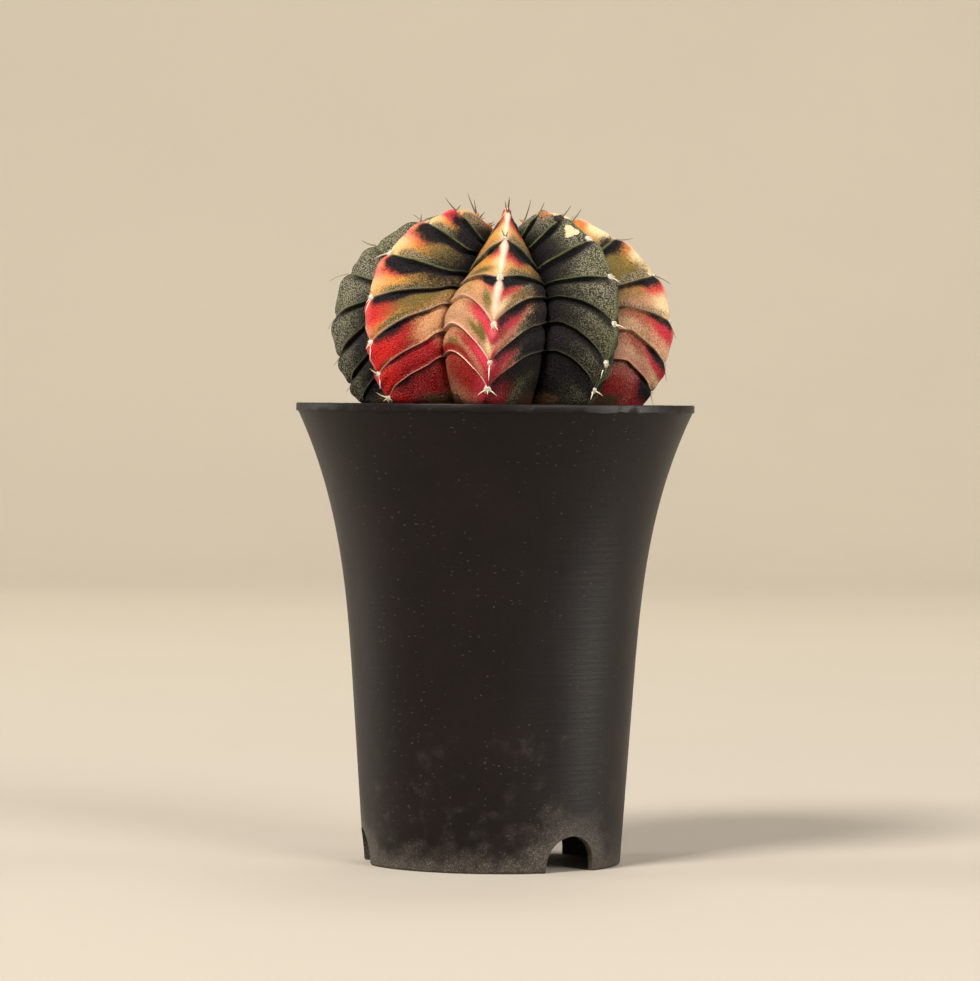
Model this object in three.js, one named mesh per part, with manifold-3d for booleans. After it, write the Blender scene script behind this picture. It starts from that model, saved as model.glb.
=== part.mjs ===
// A potted chin cactus: an eight-ribbed, variegated globe standing in a tall, flared plastic pot.
// Millimetres, +Z up. The origin is the centre of the pot's base, and the front faces -Y.
import * as THREE from 'three';
import { mergeVertices } from 'three/addons/utils/BufferGeometryUtils.js';
import Module from 'manifold-3d';

const wasm = await Module();
wasm.setup();

const DEGREE = Math.PI / 180;
const GAP = 0.3;

// The pot: a straight taper that flares towards a short upright lip.
const POT_HEIGHT = 98;
const POT_FOOT_RADIUS = 27.4;
const POT_TAPER = 0.0685;
const POT_FLARE = 8.8;
const POT_FLARE_START = 36;
const POT_WALL = 1.1;
const POT_SIDES = 48;
const WALL_STEPS = 8;
const LIP_HEIGHT = 1.7;
const LIP_RADIUS = 42.5;
const LIP_BEVEL = 0.3;
const SKIRT_WALL = 1.5;
const FOOT_ROUND = 0.6;
const FOOT_ROUND_STEPS = 3;
const WALL_BUNCHING = 0.8;

// The raised floor, its drainage holes and the three arches in the skirt below it.
const FLOOR_BOTTOM = 8.5;
const FLOOR_THICKNESS = 1.2;
const FLOOR_TOP = FLOOR_BOTTOM + FLOOR_THICKNESS;
const DRAIN_CENTRE_RADIUS = 4.5;
const DRAIN_CENTRE_SIDES = 16;
const DRAIN_RADIUS = 2.8;
const DRAIN_SIDES = 10;
const DRAIN_RING_RADIUS = 15.5;
const DRAIN_COUNT = 6;
const CUT_MARGIN = 1;
const ARCH_COUNT = 3;
const ARCH_FIRST_AZIMUTH = 37.5;
const ARCH_RADIUS = 6.2;
const ARCH_STRAIGHT = 1.4;
const ARCH_REACH = 16;
const ARCH_SEGMENTS = 14;

// The soil fills the pot to just below its rim, with a plain hole for the plant's foot.
const SOIL_BELOW_RIM = 7;
const SOIL_TOP = POT_HEIGHT - SOIL_BELOW_RIM;
const SOIL_RINGS = 7;
const SOIL_MOUND = 0.9;
const SOIL_LUMPS = 0.35;
const SOIL_GRIT = 0.3;
const SOIL_PLAIN_EDGE = 1;
const SOIL_HOLE_SIDES = 32;

// The plant's axis, and its height above the rim. Plant heights below count from the rim.
const PLANT_X = 0.3;
const PLANT_Y = -1.2;
const LEAN_BACK = 2.5 * DEGREE;
const LEAN_RIGHT = 1.6 * DEGREE;
const LEAN_SETTLED = 3;
const WAIST_HEIGHT = 16.2;
const CREST_RADIUS = 36.2;
const CREST_RISE = 25.5;
const GROOVE_RADIUS = 24.8;
const GROOVE_RISE = 16;
const UNDER_DROP = 29.5;
const SHOULDER = 0.94;
const APEX_HEIGHT = 36.5;
const APEX_LATITUDES = [72, 90];
const FOOT_RADIUS = 15;
const FOOT_HEIGHT = -5.5;
const ROOT_NECK = 3;
const ROOT_DEPTH = 12;
const ROOT_TIP_RADIUS = 12.5;

// Each rib has its azimuth from the front, its slant over 45 degrees of height, the fraction
// of a band by which its areoles sit above a whole band, a further shift of the topmost ones,
// and how stout it is. The climbs say how quickly the cross ridges climb on its left and right
// flank, and the swing turns the groove on its right towards the crown, in degrees. The falls
// say how far its left and right flank have sunk at the waist where they meet the groove.
const PLAIN_FALLS = [0.62, 0.62];
const RIBS = [
  {
    azimuth: -91.5, slant: -3, shift: -0.9, top: -0.3, stout: 0.985,
    climbs: [0.3, 0], swing: 0, falls: PLAIN_FALLS,
  },
  {
    azimuth: -48, slant: 0, shift: -0.62, top: 0.1, stout: 1.027,
    climbs: [0.2, 0.45], swing: 7, falls: [0.8, 0.62],
  },
  {
    azimuth: -2, slant: 3, shift: -0.17, top: 0.3, stout: 1.022,
    climbs: [1, 1], swing: 1, falls: PLAIN_FALLS,
  },
  {
    azimuth: 41, slant: 3, shift: 0, top: 0, stout: 1,
    climbs: [0.85, 0.4], swing: 0, falls: [0.62, 0.92],
  },
  {
    azimuth: 81, slant: -3, shift: 0.22, top: 0, stout: 1.015,
    climbs: [0, 0.3], swing: 0, falls: PLAIN_FALLS,
  },
  {
    azimuth: 127, slant: 0, shift: -0.08, top: 0, stout: 0.99,
    climbs: [0.5, 0.4], swing: -2, falls: PLAIN_FALLS,
  },
  {
    azimuth: 175, slant: 2, shift: -0.36, top: 0.1, stout: 1,
    climbs: [0.5, 0.5], swing: 3, falls: PLAIN_FALLS,
  },
  {
    azimuth: 222, slant: -1, shift: -0.65, top: 0, stout: 1.01,
    climbs: [0.4, 0.3], swing: 0, falls: PLAIN_FALLS,
  },
];
const SLANT_SPAN = 45;
const SWING_LATITUDES = [-8, 32];
const TOP_BANDS = [1.8, 3];

// Near a groove, both ribs share their shifts and climbs.
const SHARED_SHIFT_FROM = 0.75;
const SHARED_CLIMB_FROM = 0.6;

// Bands between the cross ridges are counted upwards from the waist, where band 0 starts.
const LOWEST_AREOLE = -2;
const HIGHEST_AREOLE = 4;
const LOWEST_RIDGED_BAND = -2.12;
const BAND_STATIONS = [0.07, 0, -0.11, -0.4, -0.72];
const CROWN_STEPS = 3;
const UNDER_STEPS = 3;
const RIB_STATIONS = [0, 0.14, 0.45, 0.8, 0.95, 1, -0.95, -0.8, -0.45, -0.14];

// A cross ridge's latitude in degrees: polynomials of its band below and above the waist, and
// a steady approach to the crown from the crown band on, where new ridges form.
const LATITUDES_BELOW = [19.66, 3.42, 0.34];
const LATITUDES_ABOVE = [19.66, 3.37, -0.93];
const CROWN_BAND = 3;
const CROWN_LATITUDE = 64.2;
const CROWN_PACE = 14.8;

// The climb of a cross ridge from the crest into the groove, in degrees: at its most below
// the first latitude and past its turn above the second. A curve above 1 climbs at once.
const SLOW_CLIMB = { low: 14, high: -3, between: [-16, 36], curve: 1.5 };
const QUICK_CLIMB = { low: 18, high: -4, between: [-12, 44], curve: 2.4 };
const LEVEL_LATITUDES = [50, 90];

// The flanks fall from the crest to a tight groove, more steeply above and below the waist.
const FLANK_FALL_AT_CREST = 0.98;
const FLANK_FALL = 0.95;
const FALL_LATITUDES_BELOW = [18, 42];
const FALL_LATITUDES_ABOVE = [8, 42];
const GROOVE_TIGHTNESS = 20;
const CREST_SOFTNESS = 0.004;

// Relief of the skin: how far each fold stands out, and where it lies below a cross ridge and
// how wide it is, in bands. The first three are on the flanks and the others on the crest.
const RIDGE = { height: 0.4, below: 0, width: 0.05 };
const RECESS = { height: -0.45, below: 0.11, width: 0.08 };
const SWELL = { height: 0.35, below: 0.6, width: 0.3 };
const NOTCH = { height: -0.5, below: 0, width: 0.1 };
const CHIN = { height: 0.5, below: 0.28, width: 0.2 };
const CREST_EDGE = [0.05, 0.35];
const FADING_BANDS = [4.1, 4.6];

// Areoles and their spines. A pair of lengths is the shortest and the longest, and a pair of
// lifts is the one of the lowest areoles and the one of the highest.
const TUFT_RADIUS = 0.95;
const SPINE_RADIUS = 0.28;
const SPINE_SIDES = 3;
const SPINE_ROOT = 1.1;
const SPINE_LENGTHS = [3.8, 5.8];
const SPINE_LIFTS = [-0.75, 0.25];
const SPINE_LIFT_PLAY = 0.5;
const SPINE_SPREAD = 0.75;
const SPINE_SPREAD_PLAY = 0.2;
const SPINE_SEED = 20261;

// Steps over which the body's normal is measured: round it in ribs, and up it in degrees.
const NORMAL_STEP_AROUND = 0.02;
const NORMAL_STEP_UP = 1;

const WELD = 1e-4;
const X_AXIS = new THREE.Vector3(1, 0, 0);
const Y_AXIS = new THREE.Vector3(0, 1, 0);

function clamp01(value) {
  return Math.min(1, Math.max(0, value));
}

function mix(from, to, amount) {
  return from + (to - from) * amount;
}

function smoothstep(low, high, value) {
  const t = clamp01((value - low) / (high - low));
  return t * t * (3 - 2 * t);
}

function bump(value, centre, width) {
  return Math.exp(-(((value - centre) / width) ** 2));
}

// A repeatable stream of random numbers from 0 to 1.
function randomStream(seed) {
  let state = seed >>> 0;
  return () => {
    state = (Math.imul(state, 1664525) + 1013904223) >>> 0;
    return state / 4294967296;
  };
}

// A unit vector in the horizontal plane; azimuth 0 is the front and +90 degrees is +X.
function heading(azimuth) {
  return new THREE.Vector3(Math.sin(azimuth), -Math.cos(azimuth), 0);
}

// The solid inside a closed three.js geometry.
function solidOf(geometry) {
  const bare = geometry.clone();
  bare.deleteAttribute('normal');
  bare.deleteAttribute('uv');
  const welded = mergeVertices(bare, WELD);
  const corners = welded.getIndex().array;
  const kept = [];
  for (let i = 0; i < corners.length; i += 3) {
    const [a, b, c] = corners.slice(i, i + 3);
    if (a !== b && b !== c && c !== a) kept.push(a, b, c);
  }
  const vertProperties = new Float32Array(welded.getAttribute('position').array);
  const triVerts = new Uint32Array(kept);
  return new wasm.Manifold(new wasm.Mesh({ numProp: 3, vertProperties, triVerts }));
}

// The three.js geometry of a solid.
function geometryOf(solid) {
  const mesh = solid.getMesh();
  const geometry = new THREE.BufferGeometry();
  geometry.setAttribute('position', new THREE.BufferAttribute(mesh.vertProperties, 3));
  geometry.setIndex(new THREE.BufferAttribute(mesh.triVerts, 1));
  geometry.computeVertexNormals();
  return geometry;
}

// A turned body from a profile of (radius, height) points, upright along +Z.
function turned(profile, sides) {
  const geometry = new THREE.LatheGeometry(profile, sides);
  geometry.rotateX(Math.PI / 2);
  return geometry;
}

// An upright cylinder from one height to another.
function post(radius, bottom, top, sides) {
  const geometry = new THREE.CylinderGeometry(radius, radius, top - bottom, sides);
  geometry.rotateX(Math.PI / 2);
  geometry.translate(0, 0, (bottom + top) / 2);
  return geometry;
}

// The pot's outer radius at a height.
function potRadius(height) {
  const flare = Math.max(0, (height - POT_FLARE_START) / (POT_HEIGHT - POT_FLARE_START));
  return POT_FOOT_RADIUS + POT_TAPER * height + POT_FLARE * flare ** 3;
}

// Heights along the wall, closer together where it flares.
function wallHeights(bottom, top, steps) {
  const heights = [];
  for (let i = 0; i <= steps; i += 1) {
    heights.push(mix(bottom, top, (i / steps) ** WALL_BUNCHING));
  }
  return heights;
}

// An arch-shaped cutter that passes through the skirt at an azimuth.
function archCutter(azimuth) {
  const outline = new THREE.Shape();
  outline.moveTo(-ARCH_RADIUS, -ARCH_STRAIGHT);
  outline.lineTo(ARCH_RADIUS, -ARCH_STRAIGHT);
  outline.lineTo(ARCH_RADIUS, ARCH_STRAIGHT);
  outline.absarc(0, ARCH_STRAIGHT, ARCH_RADIUS, 0, Math.PI, false);
  outline.closePath();
  const options = { depth: ARCH_REACH, bevelEnabled: false, curveSegments: ARCH_SEGMENTS };
  const geometry = new THREE.ExtrudeGeometry(outline, options);
  geometry.translate(0, 0, POT_FOOT_RADIUS - ARCH_REACH / 2);
  geometry.rotateX(Math.PI / 2);
  geometry.rotateZ(azimuth);
  return solidOf(geometry);
}

function makePot() {
  const footRadius = potRadius(0);
  const profile = [
    new THREE.Vector2(0, FLOOR_BOTTOM),
    new THREE.Vector2(potRadius(FLOOR_BOTTOM) - SKIRT_WALL, FLOOR_BOTTOM),
    new THREE.Vector2(footRadius - SKIRT_WALL, 0),
  ];
  for (let i = 0; i <= FOOT_ROUND_STEPS; i += 1) {
    const turn = ((i / FOOT_ROUND_STEPS) * Math.PI) / 2;
    const inset = FOOT_ROUND * (1 - Math.sin(turn));
    const lift = FOOT_ROUND * (1 - Math.cos(turn));
    profile.push(new THREE.Vector2(potRadius(lift) - inset, lift));
  }
  const lipBottom = POT_HEIGHT - LIP_HEIGHT;
  for (const height of wallHeights(FOOT_ROUND, lipBottom, WALL_STEPS).slice(1)) {
    profile.push(new THREE.Vector2(potRadius(height), height));
  }
  profile.push(new THREE.Vector2(LIP_RADIUS, lipBottom));
  profile.push(new THREE.Vector2(LIP_RADIUS, POT_HEIGHT - LIP_BEVEL));
  profile.push(new THREE.Vector2(LIP_RADIUS - LIP_BEVEL, POT_HEIGHT));
  for (const height of wallHeights(FLOOR_TOP, POT_HEIGHT, WALL_STEPS).reverse()) {
    profile.push(new THREE.Vector2(potRadius(height) - POT_WALL, height));
  }
  profile.push(new THREE.Vector2(0, FLOOR_TOP));

  let pot = solidOf(turned(profile, POT_SIDES));
  const drainBottom = FLOOR_BOTTOM - CUT_MARGIN;
  const drainTop = FLOOR_TOP + CUT_MARGIN;
  const centreHole = post(DRAIN_CENTRE_RADIUS, drainBottom, drainTop, DRAIN_CENTRE_SIDES);
  pot = pot.subtract(solidOf(centreHole));
  for (let i = 0; i < DRAIN_COUNT; i += 1) {
    const hole = post(DRAIN_RADIUS, drainBottom, drainTop, DRAIN_SIDES);
    const place = heading((i / DRAIN_COUNT) * 2 * Math.PI).multiplyScalar(DRAIN_RING_RADIUS);
    hole.translate(place.x, place.y, 0);
    pot = pot.subtract(solidOf(hole));
  }
  for (let i = 0; i < ARCH_COUNT; i += 1) {
    const azimuth = ARCH_FIRST_AZIMUTH * DEGREE + (i / ARCH_COUNT) * 2 * Math.PI;
    pot = pot.subtract(archCutter(azimuth));
  }

  const plastic = new THREE.MeshStandardMaterial({ color: 0x1d1b1a, roughness: 0.5 });
  const mesh = new THREE.Mesh(geometryOf(pot), plastic);
  mesh.name = 'pot';
  return mesh;
}

// Low hummocks of grit over the soil, and a slight mound round the plant.
function soilRelief(x, y) {
  const lumps = Math.sin(0.83 * x + 0.6) * Math.cos(0.71 * y - 0.4);
  const grit = Math.sin(1.9 * x + 1.3 * y) * Math.cos(1.5 * y - 1.1 * x + 0.8);
  const fromPlant = Math.hypot(x - PLANT_X, y - PLANT_Y);
  const mound = SOIL_MOUND * (1 - smoothstep(FOOT_RADIUS, 2 * FOOT_RADIUS, fromPlant));
  return SOIL_LUMPS * lumps + SOIL_GRIT * grit + mound;
}

function makeSoil() {
  const bottom = FLOOR_TOP + GAP;
  const profile = [new THREE.Vector2(0, bottom)];
  for (const height of wallHeights(FLOOR_TOP, POT_HEIGHT, WALL_STEPS)) {
    const clamped = Math.min(Math.max(height, bottom), SOIL_TOP);
    profile.push(new THREE.Vector2(potRadius(clamped) - POT_WALL - GAP, clamped));
    if (height >= SOIL_TOP) break;
  }
  const edge = profile[profile.length - 1].x;
  for (let i = SOIL_RINGS - 1; i >= 0; i -= 1) {
    profile.push(new THREE.Vector2((edge * i) / SOIL_RINGS, SOIL_TOP));
  }
  const geometry = turned(profile, POT_SIDES);
  const points = geometry.getAttribute('position');
  for (let i = 0; i < points.count; i += 1) {
    const [x, y, z] = [points.getX(i), points.getY(i), points.getZ(i)];
    const onTop = z > SOIL_TOP - WELD && Math.hypot(x, y) < edge - SOIL_PLAIN_EDGE;
    if (onTop) points.setZ(i, z + soilRelief(x, y));
  }
  const holeBottom = SOIL_TOP - ROOT_DEPTH - GAP;
  const hole = post(FOOT_RADIUS + 2 * GAP, holeBottom, POT_HEIGHT, SOIL_HOLE_SIDES);
  hole.translate(PLANT_X, PLANT_Y, 0);

  const loam = new THREE.MeshStandardMaterial({ color: 0x4a3a2c, roughness: 0.95 });
  const mesh = new THREE.Mesh(geometryOf(solidOf(geometry).subtract(solidOf(hole))), loam);
  mesh.name = 'soil';
  return mesh;
}

// The rib that a point of the skin belongs to. Around runs from 0 to the number of ribs, with
// each crest at a whole number; across is 0 on the crest and 1 or -1 in the grooves.
function ribAt(around) {
  const count = RIBS.length;
  const nearest = Math.round(around);
  const across = 2 * (around - nearest);
  const rib = RIBS[((nearest % count) + count) % count];
  const step = across < 0 ? -1 : 1;
  const neighbour = RIBS[(((nearest + step) % count) + count) % count];
  return { rib, neighbour, across, step };
}

// The sum of the factors, the first times x, the second times x squared, and so on.
function polynomial(factors, x) {
  return factors.reduce((sum, factor, i) => sum + factor * x ** (i + 1), 0);
}

// The latitude of a cross ridge, in degrees from the waist.
function latitudeOf(band) {
  if (band < 0) return polynomial(LATITUDES_BELOW, band);
  if (band < CROWN_BAND) return polynomial(LATITUDES_ABOVE, band);
  const left = 90 - CROWN_LATITUDE;
  return 90 - left * Math.exp((-CROWN_PACE / left) * (band - CROWN_BAND));
}

// The climb of the cross ridges at a place, by one of the two rules.
function climbBy(rule, latitude, across) {
  const whole = mix(rule.low, rule.high, smoothstep(...rule.between, latitude));
  return whole * (1 - (1 - Math.abs(across)) ** rule.curve);
}

// The ridges run up from the crest into the groove low on the plant, and level out above.
function chevronClimb(latitude, around) {
  const { rib, neighbour, across, step } = ribAt(around);
  const own = rib.climbs[step > 0 ? 1 : 0];
  const facing = neighbour.climbs[step > 0 ? 0 : 1];
  const sharing = smoothstep(SHARED_CLIMB_FROM, 1, Math.abs(across));
  const quickness = mix(own, (own + facing) / 2, sharing);
  const slow = climbBy(SLOW_CLIMB, latitude, across);
  const quick = climbBy(QUICK_CLIMB, latitude, across);
  return mix(slow, quick, quickness) * (1 - smoothstep(...LEVEL_LATITUDES, latitude));
}

// How far across the rib's depth the skin stands: 1 on the crest and 0 in the groove.
function ribDepth(rib, across, latitude) {
  const side = Math.sqrt(across ** 2 + CREST_SOFTNESS) - Math.sqrt(CREST_SOFTNESS);
  const below = smoothstep(...FALL_LATITUDES_BELOW, -latitude);
  const above = smoothstep(...FALL_LATITUDES_ABOVE, latitude);
  const atGroove = mix(rib.falls[across < 0 ? 0 : 1], FLANK_FALL, below + above);
  const flank = 1 - mix(FLANK_FALL_AT_CREST, atGroove, side) * side;
  return flank * Math.sqrt(Math.max(0, 1 - Math.abs(across) ** GROOVE_TIGHTNESS));
}

function bandLatitude(around, band) {
  const { rib, neighbour, across } = ribAt(around);
  const nearTop = smoothstep(...TOP_BANDS, band);
  const own = rib.shift + nearTop * rib.top;
  const shared = (own + neighbour.shift + nearTop * neighbour.top) / 2;
  const sharing = smoothstep(SHARED_SHIFT_FROM, 1, Math.abs(across));
  return latitudeOf(band + mix(own, shared, sharing));
}

// A point of the smooth ribbed body, from its place around the plant and its latitude.
function bodyPoint(around, crestLatitude) {
  const { rib, neighbour, across, step } = ribAt(around);
  const latitude = crestLatitude + chevronClimb(crestLatitude, around);
  const angle = latitude * DEGREE;
  const slant = rib.slant * (1 - Math.abs(across)) * (latitude / SLANT_SPAN);
  let turn = neighbour.azimuth - rib.azimuth;
  if (turn * step < 0) turn += 360 * step;
  const swing = (step > 0 ? rib : neighbour).swing * smoothstep(...SWING_LATITUDES, latitude);
  const azimuth = (rib.azimuth + (turn / 2 + swing) * Math.abs(across) + slant) * DEGREE;

  const rise = latitude < 0 ? UNDER_DROP : CREST_RISE;
  const grooveRise = latitude < 0 ? UNDER_DROP : GROOVE_RISE;
  const depth = ribDepth(rib, across, latitude);
  const fullness = latitude < 0 ? 1 : SHOULDER;
  const reach = Math.max(0, Math.cos(angle)) ** fullness;
  const climb = Math.sign(angle) * Math.abs(Math.sin(angle)) ** fullness;
  let radius = mix(GROOVE_RADIUS, CREST_RADIUS * rib.stout, depth) * reach;
  let height = WAIST_HEIGHT + mix(grooveRise, rise, depth) * climb;
  height = mix(height, APEX_HEIGHT, smoothstep(...APEX_LATITUDES, latitude));
  const foot = 1 - smoothstep(FOOT_HEIGHT, 0, height);
  radius = mix(radius, FOOT_RADIUS, foot);

  const leaning = smoothstep(FOOT_HEIGHT, LEAN_SETTLED, height);
  const point = heading(azimuth).multiplyScalar(radius).setZ(height - FOOT_HEIGHT);
  point.applyAxisAngle(X_AXIS, -LEAN_BACK * leaning);
  point.applyAxisAngle(Y_AXIS, LEAN_RIGHT * leaning);
  return point.setZ(point.z + FOOT_HEIGHT);
}

// How far a fold lifts the skin at a distance below its cross ridge.
function lifted(fold, distance) {
  return fold.height * bump(distance, fold.below, fold.width);
}

// How far the skin stands out from the smooth body: a thin ridge below each pair of bands, a
// recess under it and a swelling down to the next; on the crest, a notch and a chin.
function relief(across, band) {
  const below = Math.ceil(band) - band;
  const nearest = Math.min(below, 1 - below);
  const flank = lifted(RIDGE, nearest) + lifted(RECESS, below) + lifted(SWELL, below);
  const crest = lifted(NOTCH, nearest) + lifted(CHIN, below);
  const onFlank = smoothstep(...CREST_EDGE, Math.abs(across));
  return mix(crest, flank, onFlank) * (1 - smoothstep(...FADING_BANDS, band));
}

// The outward normal of the smooth body.
function bodyNormal(around, latitude) {
  const left = bodyPoint(around - NORMAL_STEP_AROUND, latitude);
  const right = bodyPoint(around + NORMAL_STEP_AROUND, latitude);
  const lower = bodyPoint(around, latitude - NORMAL_STEP_UP);
  const upper = bodyPoint(around, latitude + NORMAL_STEP_UP);
  return right.sub(left).cross(upper.sub(lower)).normalize();
}

function skinPoint(around, band) {
  const latitude = bandLatitude(around, band);
  const { across } = ribAt(around);
  const point = bodyPoint(around, latitude);
  return point.addScaledVector(bodyNormal(around, latitude), relief(across, band));
}

// Each row of the skin from the crown down, as a function of the place around the plant.
function skinRows() {
  const rows = [];
  for (let i = 0; i < CROWN_STEPS; i += 1) {
    rows.push((around) => {
      const end = bandLatitude(around, HIGHEST_AREOLE + BAND_STATIONS[0]);
      return bodyPoint(i === 0 ? 0 : around, mix(90, end, i / CROWN_STEPS));
    });
  }
  for (let ridge = HIGHEST_AREOLE; ridge >= LOWEST_AREOLE; ridge -= 1) {
    for (const station of BAND_STATIONS) {
      const band = ridge + station;
      if (band >= LOWEST_RIDGED_BAND) rows.push((around) => skinPoint(around, band));
    }
  }
  const footLatitude = Math.asin((FOOT_HEIGHT - WAIST_HEIGHT) / UNDER_DROP) / DEGREE;
  for (let i = 1; i <= UNDER_STEPS; i += 1) {
    rows.push((around) => {
      const start = bandLatitude(around, LOWEST_RIDGED_BAND);
      const climb = chevronClimb(footLatitude, around);
      return bodyPoint(around, mix(start, footLatitude - climb, i / UNDER_STEPS));
    });
  }
  const rootTip = -SOIL_BELOW_RIM - ROOT_DEPTH;
  const neck = FOOT_HEIGHT - ROOT_NECK;
  const root = [[FOOT_RADIUS, neck], [ROOT_TIP_RADIUS, rootTip], [0, rootTip]];
  for (const [radius, height] of root) {
    rows.push((around) => {
      const level = bodyPoint(around, footLatitude);
      const azimuth = Math.atan2(level.x, -level.y);
      return heading(azimuth).multiplyScalar(radius).setZ(height);
    });
  }
  return rows;
}

// The ribbed body, moved from a sphere whose poles become the crown and the root's tip.
function bodySolid() {
  const rows = skinRows();
  const columns = RIBS.length * RIB_STATIONS.length;
  const geometry = new THREE.SphereGeometry(1, columns, rows.length - 1);
  const points = geometry.getAttribute('position');
  for (let i = 0; i < points.count; i += 1) {
    const row = Math.floor(i / (columns + 1));
    const column = (i % (columns + 1)) % columns;
    const station = RIB_STATIONS[column % RIB_STATIONS.length];
    const rib = Math.floor(column / RIB_STATIONS.length) + (station < 0 ? 1 : 0);
    const place = rows[row](rib + station / 2);
    points.setXYZ(i, place.x, place.y, place.z);
  }
  return solidOf(geometry);
}

// The place of an areole, with its outward, upward and sideways directions.
function areoleFrame(rib, band) {
  const latitude = bandLatitude(rib, band);
  const place = skinPoint(rib, band);
  const out = bodyNormal(rib, latitude);
  const above = bodyPoint(rib, latitude + NORMAL_STEP_UP);
  const up = above.sub(bodyPoint(rib, latitude - NORMAL_STEP_UP)).normalize();
  return { place, out, up, side: up.clone().cross(out) };
}

// A three-sided spine with its root sunk into the areole.
function spine(place, direction, length) {
  const whole = length + SPINE_ROOT;
  const geometry = new THREE.ConeGeometry(SPINE_RADIUS, whole, SPINE_SIDES);
  geometry.translate(0, whole / 2 - SPINE_ROOT, 0);
  const turn = new THREE.Quaternion().setFromUnitVectors(new THREE.Vector3(0, 1, 0), direction);
  geometry.applyQuaternion(turn);
  geometry.translate(place.x, place.y, place.z);
  return solidOf(geometry);
}

// The spines of one areole: they rise near the crown and hang lower down.
function areoleSpines(frame, band, random) {
  const height = (band - LOWEST_AREOLE) / (HIGHEST_AREOLE - LOWEST_AREOLE);
  const count = random() < 0.5 ? 3 : 2;
  const spines = [];
  for (let i = 0; i < count; i += 1) {
    const spread = (i - (count - 1) / 2) * SPINE_SPREAD + SPINE_SPREAD_PLAY * (random() - 0.5);
    const lift = mix(...SPINE_LIFTS, height) + SPINE_LIFT_PLAY * (random() - 0.5);
    const direction = frame.out.clone();
    direction.addScaledVector(frame.up, lift).addScaledVector(frame.side, spread).normalize();
    spines.push(spine(frame.place, direction, mix(...SPINE_LENGTHS, random())));
  }
  return spines;
}

function makeCactus() {
  const random = randomStream(SPINE_SEED);
  const pieces = [bodySolid()];
  for (let rib = 0; rib < RIBS.length; rib += 1) {
    for (let band = HIGHEST_AREOLE; band >= LOWEST_AREOLE; band -= 1) {
      const frame = areoleFrame(rib, band);
      const tuft = new THREE.IcosahedronGeometry(TUFT_RADIUS, 0);
      tuft.translate(frame.place.x, frame.place.y, frame.place.z);
      pieces.push(solidOf(tuft), ...areoleSpines(frame, band, random));
    }
  }
  const flesh = new THREE.MeshStandardMaterial({ color: 0x8c4a3a, roughness: 0.7 });
  const mesh = new THREE.Mesh(geometryOf(wasm.Manifold.union(pieces)), flesh);
  mesh.name = 'cactus';
  mesh.position.set(PLANT_X, PLANT_Y, POT_HEIGHT);
  return mesh;
}

const group = new THREE.Group();
group.add(makePot());
group.add(makeSoil());
group.add(makeCactus());

export default group;
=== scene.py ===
"""A variegated chin cactus in its tall black nursery pot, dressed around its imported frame.

The plant is an eight-ribbed globe with thin cross ridges, a woolly areole with a few spines at
the end of each ridge, and flanks that run from dark green to gold, orange and crimson.  It
stands in gritty soil in a flared plastic pot with a raised floor and arched notches.

Sizes are in millimetres unless a name says otherwise, heights of the plant count from the
pot's rim, and every mesh is brought to metres when it is finished.  Azimuth 0 is the front,
which faces -Y, and +90 degrees is +X.  Colours are six-digit display colours.  The scale of a
noise or a cell pattern is how often it repeats in a metre, or in a millimetre where it reads
the map of the pot's wall.
"""

import logging
import math
from dataclasses import dataclass
from enum import Enum
from typing import Union

import bmesh
import bpy
import numpy as np
from mathutils import Matrix, Vector, noise

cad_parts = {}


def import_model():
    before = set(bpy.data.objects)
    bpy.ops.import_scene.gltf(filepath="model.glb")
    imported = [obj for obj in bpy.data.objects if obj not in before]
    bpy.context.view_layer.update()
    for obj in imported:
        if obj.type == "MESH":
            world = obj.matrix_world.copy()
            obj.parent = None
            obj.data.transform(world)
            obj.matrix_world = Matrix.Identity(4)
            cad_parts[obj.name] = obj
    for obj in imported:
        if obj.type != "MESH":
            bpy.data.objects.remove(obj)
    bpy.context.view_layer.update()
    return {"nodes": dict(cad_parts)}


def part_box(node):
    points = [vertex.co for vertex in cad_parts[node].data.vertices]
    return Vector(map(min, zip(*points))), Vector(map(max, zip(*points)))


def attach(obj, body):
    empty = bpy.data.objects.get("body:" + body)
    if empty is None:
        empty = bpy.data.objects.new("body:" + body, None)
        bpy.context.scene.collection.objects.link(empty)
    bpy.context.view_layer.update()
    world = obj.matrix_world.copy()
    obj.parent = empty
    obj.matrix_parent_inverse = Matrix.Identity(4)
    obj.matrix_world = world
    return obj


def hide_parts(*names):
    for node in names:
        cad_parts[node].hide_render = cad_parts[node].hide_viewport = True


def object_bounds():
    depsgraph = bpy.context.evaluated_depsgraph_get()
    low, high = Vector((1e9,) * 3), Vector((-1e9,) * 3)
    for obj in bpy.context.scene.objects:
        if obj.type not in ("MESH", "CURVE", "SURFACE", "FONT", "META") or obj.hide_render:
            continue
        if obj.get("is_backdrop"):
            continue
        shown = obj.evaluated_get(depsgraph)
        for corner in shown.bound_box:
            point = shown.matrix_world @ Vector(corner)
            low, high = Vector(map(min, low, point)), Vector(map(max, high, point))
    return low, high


MM = 0.001
BODY = "root"
SEED = 20261
UP = Vector((0, 0, 1))
TO_MILLIMETRES = Vector((1 / MM, 1 / MM, 1 / MM))
MERGE_DISTANCE = 0.001

Pair = tuple[float, float]
Triple = tuple[float, float, float]
Numbers = Union[float, np.ndarray]
Socket = bpy.types.NodeSocket
Signal = Union[float, tuple, bpy.types.NodeSocket]

log = logging.getLogger("chin_cactus")


def mix(start: Numbers, end: Numbers, amount: Numbers) -> Numbers:
    """Return the value that lies the given share of the way from start to end."""
    return start + (end - start) * amount


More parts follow.
